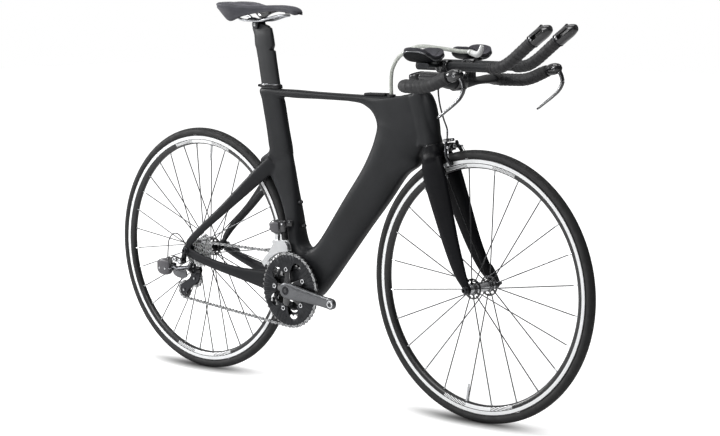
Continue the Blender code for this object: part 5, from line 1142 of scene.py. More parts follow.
def make_extension(side, name):
    """A bar from its clamp, straight and then rising, wound with tape up to the shift pod."""
    y = side * EXTENSION_Y
    bare = [(x, EXTENSION_Z + rise, 11.1) for x, rise in ((812, 0), (900, 0), (1024, 0), (1036, 0.2))]
    bar = tube(round_stations(bare, y), 60, 36)
    piece(f"extension_tube_{name}", bar, "steering", POST_CARBON, [f"extension_{name}"])
    plug = [(4, -2.2), (9.6, -2.0), (11.2, -0.6), (11.3, 1.2), (10, 1.6)]
    plug = lathe(plug, (812, y, EXTENSION_Z), AHEAD, 36, hollow=False)
    piece(f"extension_plug_{name}", plug, "steering", BLACK_RUBBER)
    taped = [(1029, 868, 11.4), (1034, 868.1, 12.3), (1044, 868.5, 12.4), (1068, 873, 12.5)]
    taped += [(1092, 886, 12.5), (1116, 904, 12.5), (1140, 922.8, 12.7), (1152, 932, 12.9)]
    grip = wrapped(round_stations(taped, y), 170, 2.1, 12.5)
    piece(f"extension_tape_{name}", grip, "steering", TAPE)
    ring = round_stations([(1026.5, 868, 12.4), (1031, 868, 13.2), (1034.5, 868.1, 14.4)], y)
    piece(f"extension_tape_end_{name}", tube(ring, 12, 32), "steering", BLACK_RUBBER)


def pod_place(reach, rise=0.0, y=0.0):
    c, s = math.cos(math.radians(38)), math.sin(math.radians(38))
    return (1152 + reach * c - rise * s, y, 932 + reach * s + rise * c)


def make_pod(side, name):
    """The shift pod: a capsule with a slot through it, and its paddle rocking on a pin in the slot."""
    y = side * EXTENSION_Y
    plan = [(0.6, 0, 13.6, 13.6), (6, 0, 15.5, 16), (18, -0.2, 15.5, 16), (30, -1, 15, 16),
        (42, -2.4, 14.4, 15)]
    plan += [(50, -4, 12.5, 13), (58, -6, 9.6, 9.6), (61.6, -7, 6.4, 6.8)]
    body = tube([(*pod_place(r, h, y), a, b) for r, h, a, b in plan], 60, 36, UP, 0.85)
    t = np.linspace(0, math.pi, 9)
    slot = []
    for k in (1, -1):
        for a in t:
            x, _, z = pod_place(27.5 + 14.2 * k + 5.3 * math.sin(a) * k, 5.3 * math.cos(a) * k)
            slot.append((x, z))
    cut = plate(slot, y, 44)
    moulded(f"shift_pod_body_{name}", [body], "steering", POD, [f"shift_pod_{name}"], 1.0, 2, 0.4, [cut])
    paddle = [(11.5, 15.1, 4.4, 1.7), (19, 13.3, 4.7, 3), (28, 12.1, 4.8, 4.2), (37, 13.3, 4.7, 3),
        (44.4, 15.1, 4.2, 1.7)]
    shape = tube([(*pod_place(r, h, y), a, b) for r, h, a, b in paddle], 50, 24, UP, 0.7)
    piece(f"shift_paddle_face_{name}", shape, f"shift_paddle_{name}", GLOSS, [f"shift_paddle_{name}"])
    screws = [bolt(pod_place(8, 0, y + k * 14.6), (0, k, 0), 2.3, 1.4) for k in (-1, 1)]
    screws += [bolt(pod_place(53.5, -4.6, y + k * 9.6), (0, k, 0), 1.9, 1.2) for k in (-1, 1)]
    piece(f"shift_pod_screws_{name}", screws, "steering", BRIGHT)
    line = [(*pod_place(30 * k, 0, y), 15.9, 16.3) for k in (0.0, 0.03, 0.06)]
    piece(f"shift_pod_ring_{name}", tube(line, 8, 36, UP, 0.9), "steering", DARK_METAL)


def make_extension_clamp(side, name):
    """The block that holds an extension over the wing: a split ring above and a saddle foot below."""
    y = side * EXTENSION_Y
    ring = lathe([(11.4, -17), (15.4, -17), (16.1, -16), (16.1, 16), (15.4, 17), (11.4, 17)],
        (BAR_X, y, EXTENSION_Z), AHEAD, 56)
    post = [(BAR_X, y, z, a, b) for z, a, b in ((829, 14.4, 12.2), (842, 12.6, 10.8), (856, 12.4, 10.6))]
    post = tube(post, 16, 28, ACROSS, 0.6)
    piece(f"extension_clamp_body_{name}", [ring, post], "steering", POD, [f"extension_clamp_{name}"], 0.4)
    bolts = []
    for x in (BAR_X - 9, BAR_X + 9):
        for k in (-1, 1):
            top = (x, y + k * 13.2, EXTENSION_Z + 10)
            bolts.append(rod((x, y + k * 13.2, EXTENSION_Z - 9), top, 3.9, 20, edge=0.6))
            bolts.append(bolt(top, UP, 2.9, 1.6))
    piece(f"extension_clamp_bolts_{name}", bolts, "steering", BOLT_DARK)


REST = [
    (824, 878, 24, 20),
    (831, 876.5, 25, 21),
    (846, 875.5, 25, 22),
    (863, 875, 25, 22),
    (880, 875.5, 24, 22),
    (895, 877, 23, 21),
    (903, 879, 22, 20),
]


def rest_grid(side, rows, columns, low, shrink=1.0, crown=0.0):
    """A trough for the forearm. Across v from -1 to 1, a point's height is floor + low + rise * |v|^2.2,
    where rise differs between the inner and outer side and falls away at the two ends."""
    line = flow(REST, rows)
    trim = flow([(0.4,), (0.78,), (0.97,), (1,), (0.97,), (0.78,), (0.4,)], rows)
    middle_x = 863.5
    v = np.linspace(-1, 1, columns)[None]
    rise = np.where(v > 0, line[:, 2:3], line[:, 3:4]) * trim
    end = np.sin(np.linspace(0.02, math.pi - 0.02, rows))[:, None] ** 0.5
    width = 39 * shrink * (0.6 + 0.4 * end)
    x = middle_x + (line[:, 0:1] - middle_x) * shrink + 0 * v
    y = side * (92 + width * v)
    z = line[:, 1:2] + low + rise * np.abs(v) ** 2.2 + crown * end * (1 - np.abs(v) ** 4)
    return np.stack([x, y + 0 * x, z], -1)


def make_arm_rest(side, name):
    """A thin trough with a lip in pale grey metal, which paints a highlight along its rim, a bracket below
    it and a padded cushion with two seams.
    """
    cup_top = rest_grid(side, 40, 41, 4.4)
    cup = skin(np.concatenate([cup_top, (cup_top - (0, 0, 3.2))[:, ::-1]], 1))
    border = np.concatenate([cup_top[:, 0], cup_top[-1, 1:], cup_top[::-1, -1][1:], cup_top[0, ::-1][1:-1]])
    lip = tube([(*p, 1.9, 1.9) for p in border[::3]], 220, 12, closed=True)
    piece(f"arm_rest_shell_{name}", cup, "steering", FORK_CARBON, [f"arm_rest_cup_{name}"], angle=50)
    # The lip's pale grey metal is a painted highlight along the cup's rim.
    piece(f"arm_rest_lip_painted_highlight_{name}", lip, "steering", CRANK_GREY)
    bracket = tube([(873, side * 63, 870, 15, 5.2), (873, side * 74, 870.6, 17, 6.0),
        (873, side * 105, 871, 17, 6.0)], 20, 24, power=0.6)
    piece(f"arm_rest_bracket_{name}", bracket, "steering", DARK_METAL)
    top = rest_grid(side, 48, 49, 14.0, 0.985, 1.8)
    foot = rest_grid(side, 48, 49, 5.2, 0.955)
    edge = rest_grid(side, 48, 49, 9.4, 1.01)
    round_side = np.concatenate([top, edge[:, -1:], foot[:, ::-1], edge[:, :1]], 1)
    closed = skin(round_side)
    pad = piece(f"arm_rest_cushion_{name}", closed, "steering", PAD_COVER, [f"arm_pad_{name}"], angle=80)
    seams = []
    line = rest_grid(side, 48, 49, 14.2, 0.985, 1.8)
    for row in (13, 34):
        seams.append(cable(line[row, 3:-3:2], 0.45, 70, 8))
    piece(f"arm_rest_seams_{name}", seams, "steering", BLACK_RUBBER)
    piece(f"arm_rest_bolts_{name}", [rod((873, side * 92, 869), (873, side * 92, 871), 5, 20)],
        "steering", STEEL)


def make_levers(side, name):
    """The housing in the horn's end, the blade that hangs from its pin, and a bright metal strip along the
    blade's edge that is a painted highlight.
    """
    y = side * BAR_HALF_WIDTH
    plan = [(1024, 852.8, 12, 12), (1027, 853.6, 13.4, 13.4), (1035, 856, 14.5, 14.4),
        (1044, 858, 14.5, 14)]
    plan += [(1050, 859.6, 13.4, 12.6), (1056, 861.8, 10.4, 9.2), (1058.5, 862.8, 6.4, 5.6)]
    body = tube([(x, y, z, a, b) for x, z, a, b in plan], 50, 36, power=0.9)
    cut = plate([(1038, 868), (1066, 874), (1070, 838), (1041, 838)], y, 11)
    housing = f"brake_lever_housing_{name}"
    moulded(f"lever_hood_{name}", [body], "steering", GLOSS, [housing], 1.0, 2, 0.4, [cut])
    screws = [bolt((LEVER_PIVOT[0], y + k * 13.0, LEVER_PIVOT[1]), (0, k, 0), 4.0, 2.0) for k in (-1, 1)]
    piece(f"lever_pin_{name}", screws, "steering", BRIGHT)
    blade = [(1044, 859, 4.6, 5.2), (1054, 853, 4.9, 5.6), (1062, 841, 5.4, 4.6), (1065, 825, 6.5, 3.8)]
    blade += [(1055, 806, 7, 3.4), (1036, 789, 6.8, 3), (1012, 772, 6.4, 2.8), (995, 760, 5.6, 2.6),
        (990.5, 756.6, 3.2, 1.9)]
    shape = tube([(x, y, z, a, b) for x, z, a, b in blade], 100, 24, (0, 0.0001, 1), 0.75)
    piece(f"lever_blade_{name}", shape, f"brake_lever_{name}", GLOSS, [f"brake_lever_{name}"])
    # The bright strip along the blade's edge is a painted highlight.
    edge = [(x + 0.8, y, z - 0.4, a * 1.03, b * 0.55) for x, z, a, b in blade[1:-1]]
    piece(f"lever_edge_painted_highlight_{name}", tube(edge, 80, 16, (0, 0.0001, 1), 0.75), f"brake_lever_{name}", BRIGHT)


def make_hose():
    """The drinking hose rises from the top tube, runs over the bars and ends in its bite valve."""
    path = [(694, -14, 786.0), (694, -15, 830), (702, -17, 858), (730, -21, 888), (790, -26, 911),
        (856, -24, 909)]
    path += [(910, -24, 904), (950, -24, 903)]
    hose = tube([(*p, 4.9, 4.9) for p in path], 160, 24, ACROSS)
    piece("drinking_hose", hose, "steering", HOSE, ["hydration_hose"])
    valve = [(946, 903.4, 5.3), (950, 902.4, 6.3), (955, 900.9, 7), (962, 898.8, 7.3)]
    valve += [(969, 897.2, 7.5), (974, 898, 7.3), (979, 902, 6.8), (983, 909, 5.9), (986, 918, 4.9)]
    valve = tube(round_stations(valve, -24), 70, 28, ACROSS)
    piece("bite_valve", valve, "steering", WHITE_PLASTIC)
    ring = tube(round_stations([(951.5, 902.0, 7.3), (954.5, 901.1, 7.6)], -24), 6, 28, ACROSS)
    piece("bite_valve_ring", ring, "steering", HOSE)


def make_front_cable():
    """The cable's housing from the bar down to the front brake, with a ferrule at its end."""
    path = [(841, -6, 824.8), (838, -6, 802), (846, -9, 770), (860, -12, 738), (874, -15, 712),
        (876, -18, 687)]
    piece("front_brake_housing", cable(path, 2.2, 120, 16), "steering", HOUSING, ["front_brake_cable"])
    cap = [rod((874.2, -15.2, 711), (875.9, -17.6, 690), 2.7, 20, edge=0.4)]
    piece("front_brake_ferrule", cap, "steering", STEEL)


# The brakes


def make_brake_arm(name, wheel_x, angle, side, tangent, lever, body, node):
    """One arm of a brake: it bows round the tyre from the cable down to the shoe beside the rim."""
    bow = [(351 + lever, 20, 3, 3), (351 + lever / 2, 21, 4, 3.8), (351, 19, 5, 3.8), (345, 26, 5, 3.8)]
    bow += [(333, 31, 4, 3.8), (319, 30, 4, 3.8), (303, 23, 3.5, 3.4)]
    way = np.subtract(beside(0, angle, 0, 1), HUB["rear"])
    out = np.subtract(beside(0, angle, 1, 0), HUB["rear"])
    stations = [(*beside(wheel_x, angle, r, tangent, side * y), a, b) for r, y, a, b in bow]
    arm = tube(stations, 60, 20, way, 0.75)
    pivot = np.array(beside(wheel_x, angle, 351, tangent, side * 14))
    eye = lathe([(3.2, -4), (6.4, -4), (7, -3.4), (7, 3.4), (6.4, 4), (3.2, 4)], pivot, way, 40)
    piece(f"{name}_arm", [arm, eye], body, DARK_METAL, [node], 0.3)
    shoe_y = side * 17.9
    shoe = [(*beside(wheel_x, angle, 307, k, shoe_y), 5.3, h)
        for k, h in ((-22, 3.6), (-19, 4.4), (0, 4.4), (19, 4.4), (22, 3.6))]
    piece(f"{name}_shoe", tube(shoe, 30, 20, out, 0.45), body, PAD_RUBBER)
    holder = [(*beside(wheel_x, angle, 307.6, k, side * 21.2), 2.5, 5.0) for k in (-20, -16, 0, 16, 20)]
    piece(f"{name}_shoe_holder", tube(holder, 24, 20, out, 0.5), body,
        STEEL if "front" in name else DARK_METAL)
    nut = np.array(beside(wheel_x, angle, 307, 0, side * 22.5))
    bits = [rod(nut, nut + (0, side * 7.2, 0), 4.6, 6, edge=0.5),
        bolt(nut + (0, side * 7.2, 0), (0, side, 0), 3.2, 1.6)]
    head = pivot + way * 4.0
    bits += [bolt(head, way, 4.4, 2.6)]
    piece(f"{name}_bolts", bits, body, STEEL)


def make_brakes():
    """Four arms of one form; the rear ones lie behind the crank under the chain stays."""
    brakes = (("front", WHEELBASE, 108.6, -21, 12), ("rear", 0.0, -20.0, -13, 6))
    for end, wheel_x, angle, tangent, lever in brakes:
        for side, hand in SIDES:
            node = f"{end}_brake_arm_{hand}"
            make_brake_arm(f"{end}_brake_{hand}", wheel_x, angle, side, tangent, lever, node, node)
    refined("front_brake_mount", DARK_METAL, 0.8)
    make_front_brake_details()


def front_place(radius, tangent, y):
    """A place at the front brake, from the wheel's axle, along the rim and to the side."""
    return np.array(beside(WHEELBASE, 108.6, radius, tangent, y))


def make_front_brake_details():
    """The cable's carrier between the arms, its clamp on the right arm and the return springs."""
    carrier = tube([(*front_place(r, -21, 0), a, 6.5)
        for r, a in ((339, 5.5), (342, 6.4), (354, 6.4), (357, 5.0))], 14, 24, (0.95, 0, 0.32), 0.6)
    piece("front_brake_carrier", carrier, "steering", GLOSS)
    washer = [(3.0, 0), (5.6, 0), (5.9, 0.5), (5.4, 1.4), (3.0, 1.4)]
    plate_ring = lathe(washer, front_place(348, -27.4, 0), (0.95, 0, 0.32), 40)
    piece("front_brake_washer", plate_ring, "steering", BRIGHT)
    body = "front_brake_arm_right"
    clamp = [rod(front_place(365, -22, -25), front_place(365, -22, 9), 4.2, 24, edge=0.6)]
    piece("front_brake_anchor", clamp, body, GLOSS)
    ends = [rod(front_place(365, -22, y), front_place(365, -22, y + 3), 4.7, 24, edge=0.5)
        for y in (-26.5, -13)]
    ends.append(bolt(front_place(365, -26, -4), (0.95, 0, -0.32), 3.0, 1.6))
    piece("front_brake_anchor_bright", ends, body, BRIGHT)
    for side, hand in SIDES:
        path = [front_place(r, t, side * y)
            for r, t, y in ((352, -28.5, 16), (344, -29, 27), (332, -29, 33), (320, -28, 33))]
        spring = cable(path, 0.95, 40, 8)
        barrel = rod(front_place(346, -27.5, side * 22), front_place(346, -27.5, side * 30), 3.4,
            20, edge=0.5)
        piece(f"front_brake_spring_{hand}", [spring, barrel], f"front_brake_arm_{hand}", BRIGHT)


# The wheels


def make_tyre(end):
    """The tyre's section runs from one bead over the tread to the other, and is turned about the axle."""
    turn = np.radians(np.linspace(-118, 118, 29))
    middle = WHEEL_RADIUS - TYRE_HALF
    profile = [(middle + TYRE_HALF * math.cos(a), TYRE_HALF * math.sin(a)) for a in turn]
    profile += [(313.9, 8.2), (313.9, 0), (313.9, -8.2)]
    tyre = lathe(profile, HUB[end], steps=240)
    piece(f"{end}_tyre_rubber", tyre, f"{end}_wheel", TYRE, [f"{end}_tyre"])


def make_rim(end):
    """The rim's section, turned about the axle, and the valve that stands in it."""
    side = [(313.5, 9.5), (308, 9.75), (301.6, 9.7), (296.4, 8.7), (292.3, 6.8), (290.0, 4.6), (289.3, 1.8)]
    profile = side + [(r, -y) for r, y in side[::-1]] + [(312.0, -7.6), (312.0, 7.6)]
    body = f"{end}_wheel"
    hoop = lathe(profile, HUB[end], steps=240)
    piece(f"{end}_rim_hoop", hoop, body, rim_finish(end), [f"{end}_rim"])
    angle = math.radians(262 if end == "front" else 84)
    out = np.array((math.cos(angle), 0, math.sin(angle)))
    centre = HUB[end]
    valve = [rod(centre + out * 289.5, centre + out * 254, 2.9, 14)]
    valve += [rod(centre + out * 256, centre + out * 246, 2.2, 12)]
    valve += [rod(centre + out * 290, centre + out * 286.6, 4.6, 20, edge=0.6)]
    piece(f"{end}_valve", valve, body, BRIGHT)


def spoke_ends(end):
    """Where each spoke leaves its flange and where it meets the rim, as two arrays of places."""
    count = 24 if end == "front" else 32
    k = np.arange(count)
    turn = TURN * (k + 0.5) / count
    side = np.where(k % 2, -1, 1)
    if end == "front":
        hub_turn, hub_y = turn, side * 32.0
    else:
        way = np.where((k // 2) % 2, 1, -1)
        hub_turn = turn + way * TURN * 3.5 / 32
        hub_y = np.where(side > 0, 34, -17) + way * 1.7
    centre = HUB[end]
    hub = centre + np.column_stack([21.5 * np.sin(hub_turn), hub_y, 21.5 * np.cos(hub_turn)])
    rim = centre + np.column_stack([289.4 * np.sin(turn), side * 1.5, 289.4 * np.cos(turn)])
    return hub, rim


def make_spokes(end):
    """Each spoke is a thin rod from the flange to its nipple, with a head at the flange."""
    hub, rim = spoke_ends(end)
    body = f"{end}_wheel"
    spokes, nipples = [], []
    for a, b in zip(hub, rim):
        run = (b - a) / np.linalg.norm(b - a)
        spokes.append(rod(a, b, 1.45, 8))
        spokes.append(rod(a - (0, 1.9, 0), a + (0, 1.9, 0), 1.9, 8))
        nipples.append(rod(b - run * 11, b, 1.75, 8, 2.2))
    piece(f"{end}_spokes", spokes, body, SPOKE_STEEL)
    piece(f"{end}_nipples", nipples, body, STEEL)


def flange(centre, y, wall=4.0):
    """A hub's flange: an inner and an outer ring with webs between the round windows."""
    outer = [(22.2, -wall / 2), (24.9, -wall / 2), (25.6, -wall / 4), (25.6, wall / 4),
        (24.9, wall / 2), (22.2, wall / 2)]
    inner = [(9, -wall / 2), (15.2, -wall / 2), (15.2, wall / 2), (9, wall / 2)]
    place = (centre[0], y, centre[2])
    shapes = [lathe(outer, place, steps=64), lathe(inner, place)]
    for k in range(8):
        turn = TURN * (k + 0.25) / 8
        c, s = math.cos(turn), math.sin(turn)
        web = []
        for r, half in ((14.6, 3.6), (16.2, 2.4), (18.7, 1.8), (21.2, 2.4), (22.8, 3.8)):
            web.append((centre[0] + r * c, y, centre[2] + r * s, half, wall / 2 - 0.1))
        shapes.append(tube(web, 12, 12, ACROSS, 0.5))
    return shapes


def make_hubs():
    """Both hubs with their flanges, and for each wheel its axle, nut and skewer lever."""
    front, rear = HUB["front"], HUB["rear"]
    shell = [(5.3, 49.7), (9, 49.7), (9.6, 48.8), (13, 38), (13.4, 33), (13.2, 24), (11.6, 16), (11.2, 0)]
    profile = shell + [(r, -y) for r, y in shell[-2::-1]]
    piece("front_hub_shell", lathe(profile, front, steps=64), "front_wheel", BRIGHT, ["front_hub"])
    shapes = flange(front, 32) + flange(front, -32)
    piece("front_hub_flanges", shapes, "front_wheel", GLOSS)
    profile = [(5.3, 64.7), (9, 64.7), (9.6, 63.6), (13, 42), (14, 37), (14, 30), (13, 22),
        (12.4, 8), (13.4, -9)]
    profile += [(14.6, -14), (14.6, -20), (10.5, -20.4), (10.5, -61), (8.5, -64.7), (5.3, -64.7)]
    piece("rear_hub_shell", lathe(profile, rear, steps=64), "rear_wheel", DARK_METAL, ["rear_hub"])
    shapes = flange(rear, 34, wall=5.4) + flange(rear, -17, wall=5.4)
    piece("rear_hub_flanges", shapes, "rear_wheel", GLOSS)
    for end, x, reach, body in (("rear", 0.0, 72.5, "frame"), ("front", WHEELBASE, 57.1, "steering")):
        axle = rod((x, -reach - 3, WHEEL_RADIUS), (x, reach + 3, WHEEL_RADIUS), 4.9, 32, edge=0.6)
        nut = [(3, -0.6), (9.2, -0.6), (9.6, -1.2), (9.4, -3.4), (7.7, -4.6), (7.4, -9), (6.6, -10),
            (3, -10)]
        cap = [(3, 0.6), (9.0, 0.6), (9.6, 1.3), (9.6, 5.6), (8.6, 7.8), (3, 8)]
        ends = [lathe(nut, (x, -reach, WHEEL_RADIUS), steps=36)]
        ends.append(lathe(cap, (x, reach, WHEEL_RADIUS)))
        piece(f"{end}_axle_rod", [axle, *ends], body, DARK_METAL, [f"{end}_axle"])
        lever_body = f"{end}_skewer_lever"
        dx, dz = (0.97, -0.24) if end == "rear" else (-0.5, 0.866)
        y = reach + 13.3
        barrel = rod((x + dz * 8, y, WHEEL_RADIUS - dx * 8), (x - dz * 8, y, WHEEL_RADIUS + dx * 8),
            4.9, 28, edge=0.6)
        plan = [(-2, 0.3, 4.2, 3.0), (4, 0.6, 4.9, 3.1), (14, 1.5, 5.5, 2.6), (28, 1.0, 6.0, 2.3),
            (38, 0, 6.0, 2.2)]
        plan += [(48, -1.4, 5.2, 2.0), (52, -2, 3.6, 1.5)]
        stations = [(x + dx * r, y + h, WHEEL_RADIUS + dz * r, a, b) for r, h, a, b in plan]
        shape = tube(stations, 50, 24, ACROSS, 0.8)
        piece(f"{end}_skewer_handle", [shape, barrel], lever_body, CRANK_GREY, [lever_body])


# The drivetrain


def pitch_radius(teeth, pitch=CHAIN_PITCH):
    return pitch / (2 * math.sin(math.pi / teeth))


def toothed(teeth, phase, tip=1.0, depth=4.2):
    """A sprocket's edge: peak - drop * (0.5 - 0.5 cos(teeth * (t - phase)))^0.62, which keeps the tips
    narrow and the roots round."""
    peak = pitch_radius(teeth) + tip + 1.4
    drop = depth + 1.0

    def edge(t):
        wave = 0.5 - 0.5 * np.cos(teeth * (t - phase))
        return peak - drop * wave**0.62

    return edge


def steady(radius):
    return lambda t: np.full(len(t), float(radius))


def ring_look(name, edge):
    """A chainring: dark anodised inside the edge radius and bare teeth beyond it."""
    made = Finish(name, (0.04, 0.041, 0.044), 0.32, 1.0)
    _, _, radius = made.about(*CRANK_CENTRE)
    grooves = made.sum("FRACT", made.sum("MULTIPLY", radius, 1500.0))
    shade = made.mix(made.span(made.noise(60, 4), 0, 1), (0.026, 0.027, 0.029), (0.042, 0.043, 0.046))
    made.colour(made.mix(made.sum("GREATER_THAN", radius, edge * METRES), shade, (0.3, 0.3, 0.3)))
    made.roughness(made.span(made.noise(220, 4), 0.24, 0.42))
    made.bump(grooves, 0.04, 0.0002)
    return made.look


def make_rings(phase):
    """Two chainrings whose windows draw in to the spider's five arms, and the outer ring's lift pins."""
    five = CRANK_ANGLE + SPIDER_TURN

    def window(t, wide=77.0):
        wave = np.minimum(1, 1.6 * (0.5 + 0.5 * np.cos(5 * (t - five)))) ** 1.5
        return wide - (wide - 48) * wave

    edge = toothed(OUTER_TEETH, phase)
    outer = ring_plate(edge, window, CRANK_CENTRE, OUTER_RING_Y, 2.4, 0.5, OUTER_TEETH * 20)
    look = ring_look("outer_ring_finish", 94.0)
    piece("outer_chainring", outer, "crankset", look, ["chainring_outer"], angle=50)
    edge, hole = toothed(INNER_TEETH, 0.0), lambda t: window(t, 60.0)
    inner = ring_plate(edge, hole, CRANK_CENTRE, INNER_RING_Y, 2.2, 0.5, INNER_TEETH * 20)
    look = ring_look("inner_ring_finish", 66)
    piece("inner_chainring", inner, "crankset", look, ["chainring_inner"], angle=50)
    pins = []
    for k in range(8):
        turn = five + TURN * (k + 0.37) / 8
        x, z = CRANK_X + 85 * math.cos(turn), CRANK_Z + 85 * math.sin(turn)
        pins.append(rod((x, OUTER_RING_Y + 1.0, z), (x, OUTER_RING_Y + 2.2, z), 2.2, 14))
    piece("chainring_lift_pins", pins, "crankset", STEEL)


def make_cranks():
    """Each arm is a row of rounded rings from the spindle to the pedal's eye, leaning outwards."""
    plan = [(-20, 14, 0, 6.0), (-8, 21, 0, 6.5), (14, 22, 0, 6.5), (36, 19.6, 0.8, 6.5),
        (60, 17.5, 1.5, 5.8)]
    plan += [(120, 15, 4, 5.2), (150, 14.6, 6.2, 5.1), (165, 15, 7, 5.1), (178, 8, 7, 4.6)]
    arms = ((-1, "right", CRANK_ANGLE, -57), (1, "left", CRANK_ANGLE + math.pi, 53.5))
    for side, name, turn, middle in arms:
        c, s = math.cos(turn), math.sin(turn)
        stations = [(CRANK_X + r * c, middle + side * lean, CRANK_Z + r * s, a, b)
            for r, a, lean, b in plan]
        arm = tube(stations, 90, 32, ACROSS, 0.62)
        eye_place = np.array((CRANK_X + CRANK_LENGTH * c, middle + side * 7, CRANK_Z + CRANK_LENGTH * s))
        eye = lathe([(12.8, -6.2), (14, -5), (14, 5), (12.8, 6.2)], eye_place, hollow=False)
        hole = lathe([(7.2, -20), (7.2, 20)], eye_place, steps=32, hollow=False)
        hub = [(18, -6.3), (20, -4.8), (20, 4.8), (18, 6.3)]
        boss = lathe(hub, (CRANK_X, middle, CRANK_Z), steps=56, hollow=False)
        solids, node = [arm, eye, boss], f"crank_{name}"
        moulded(f"crank_arm_{name}", solids, "crankset", CRANK_GREY, [node], 1.25, 5, 0.5, [hole])
        ring = [(7.25, -6.5), (9.6, -6.5), (9.9, -6.1), (9.9, 6.1), (9.6, 6.5), (7.25, 6.5)]
        piece(f"pedal_thread_{name}", lathe(ring, eye_place), "crankset", BRIGHT)
        face = middle + side * 6.2
        cap = [(2, 0), (11.4, 0), (11.8, 0.5), (11.2, 1.5), (8.2, 1.9), (7.4, 0.7), (2, 0.5)]
        way = (0, side, 0)
        cover = lathe(cap, (CRANK_X, face - side * 0.2, CRANK_Z), way, 56, hollow=False)
        piece(f"crank_cap_{name}", cover, "crankset", DARK_METAL)
        head = bolt((CRANK_X, face + side * 0.4, CRANK_Z), way, 5.4, 1.2)
        piece(f"crank_bolt_{name}", head, "crankset", BOLT_DARK)
    spindle = rod((CRANK_X, -52, CRANK_Z), (CRANK_X, 48, CRANK_Z), 12, 40)
    piece("crank_spindle", spindle, "crankset", DARK_METAL)
    legs, bolts, heads = [], [], []
    hub = [(12, -53), (19.6, -52.6), (20.4, -51), (20.2, -44.5), (19, -43), (12, -42.6)]
    legs.append(lathe(hub, CRANK_PLACE, steps=56))
    for k in range(5):
        turn = CRANK_ANGLE + SPIDER_TURN + TURN * k / 5
        c, s = math.cos(turn), math.sin(turn)
        leg = [(12, -48.5, 14, 4.2), (24, -48, 12.5, 3.6), (36, -46.2, 10.4, 2.7),
            (50, -43.6, 9.0, 1.9), (58, -43, 8.4, 1.7)]
        leg += [(62.4, -43, 6.6, 1.5)]
        stations = [(CRANK_X + r * c, y, CRANK_Z + r * s, a, b) for r, y, a, b in leg]
        legs.append(tube(stations, 40, 24, ACROSS, 0.7))
        place = np.array((CRANK_X + 55 * c, 0, CRANK_Z + 55 * s))
        sleeve = [(2.2, -49.4), (5.6, -49.4), (6.2, -48.8), (6.2, -47.4), (4.6, -47.2), (4.6, -39),
            (2.2, -39)]
        bolts.append(lathe(sleeve, place, steps=28))
        heads.append(bolt(place + (0, -48.6, 0), (0, -1, 0), 3.9, 1.2))
        bolts.append(bolt(place + (0, -38.2, 0), ACROSS, 4.6, 1.4))
    piece("crank_spider", legs, "crankset", GLOSS)
    piece("chainring_bolts", bolts, "crankset", BRIGHT)
    piece("chainring_bolt_heads", heads, "crankset", PIN_DARK)
    for side, name in SIDES:
        cup = [(12.6, 34.2), (20.2, 34.2), (21, 35), (21, 41.2), (20, 42.4), (16, 42.6), (12.6, 42.4)]
        ring = lathe([(r, y * side) for r, y in cup], CRANK_PLACE, steps=64)
        node = f"bottom_bracket_cup_{name}"
        piece(f"bottom_bracket_ring_{name}", ring, "frame", DARK_METAL, [node])


def sprocket_look():
    """Bare steel teeth on a darker plate. v runs round each sprocket's section, so the outer part of
    its right face lies just above 3/8 and that of its left face just below 1."""
    made = Finish("sprocket_steel", (0.5, 0.505, 0.51), 0.3, 1.0)
    _, v = made.wrap()
    tooth = made.either(made.sum("LESS_THAN", v, 0.408), made.sum("GREATER_THAN", v, 0.967))
    plain = made.mix(made.span(made.noise(60, 4), 0, 1), (0.07, 0.071, 0.073), (0.13, 0.131, 0.134))
    made.colour(made.mix(tooth, plain, (0.86, 0.865, 0.87)))
    made.roughness(made.span(made.noise(300, 4), 0.22, 0.4))
    made.bump(made.noise(400, 3), 0.06, 0.0002)
    return made.look


def sprocket_y(k):
    return SMALLEST_SPROCKET_Y + SPROCKET_STEP * k


def make_cassette(phase):
    """Ten sprockets with spacers between them, and the lockring on the smallest."""
    sprockets = []
    for k, teeth in enumerate(CASSETTE_TEETH):
        bore = 16.6 if teeth < 17 else 17.2
        edge = toothed(teeth, phase if k == CHAIN_SPROCKET else 0.37 * k)
        place = (0, WHEEL_RADIUS)
        sprockets.append(ring_plate(edge, steady(bore), place, sprocket_y(k), 1.7, 0.3, teeth * 12))
    piece("cassette_sprockets", sprockets, "cassette", sprocket_look(), ["cassette"], angle=50)
    spacers = []
    for k in range(9):
        y = sprocket_y(k)
        spacer = [(16.8, y + 0.9), (19.2, y + 0.9), (19.2, y + 3.0), (16.8, y + 3.0)]
        spacers.append(lathe(spacer, HUB["rear"]))
    for k in (5, 6, 7, 8):
        y, teeth = sprocket_y(k), CASSETTE_TEETH[k]
        for arm in range(5):
            turn = TURN * arm / 5 + 0.2
            c, s = math.cos(turn), math.sin(turn)
            r = pitch_radius(teeth) - 6
            web = [(17 * c, y + 1.9, WHEEL_RADIUS + 17 * s, 3.6, 1.0)]
            web += [(r * c, y + 1.9, WHEEL_RADIUS + r * s, 2.6, 1.0)]
            spacers.append(tube(web, 4, 10, ACROSS, 0.5))
    piece("cassette_spacers", spacers, "cassette", DARK_METAL)
    lock = [(10.9, -57.0), (16.2, -57.0), (17.4, -57.6), (17.2, -59.4), (15.8, -59.9),
        (13.0, -59.7), (12.4, -58.2), (10.9, -58.0)]
    piece("cassette_lockring", lathe(lock, HUB["rear"], steps=72), "cassette", DARK_METAL)


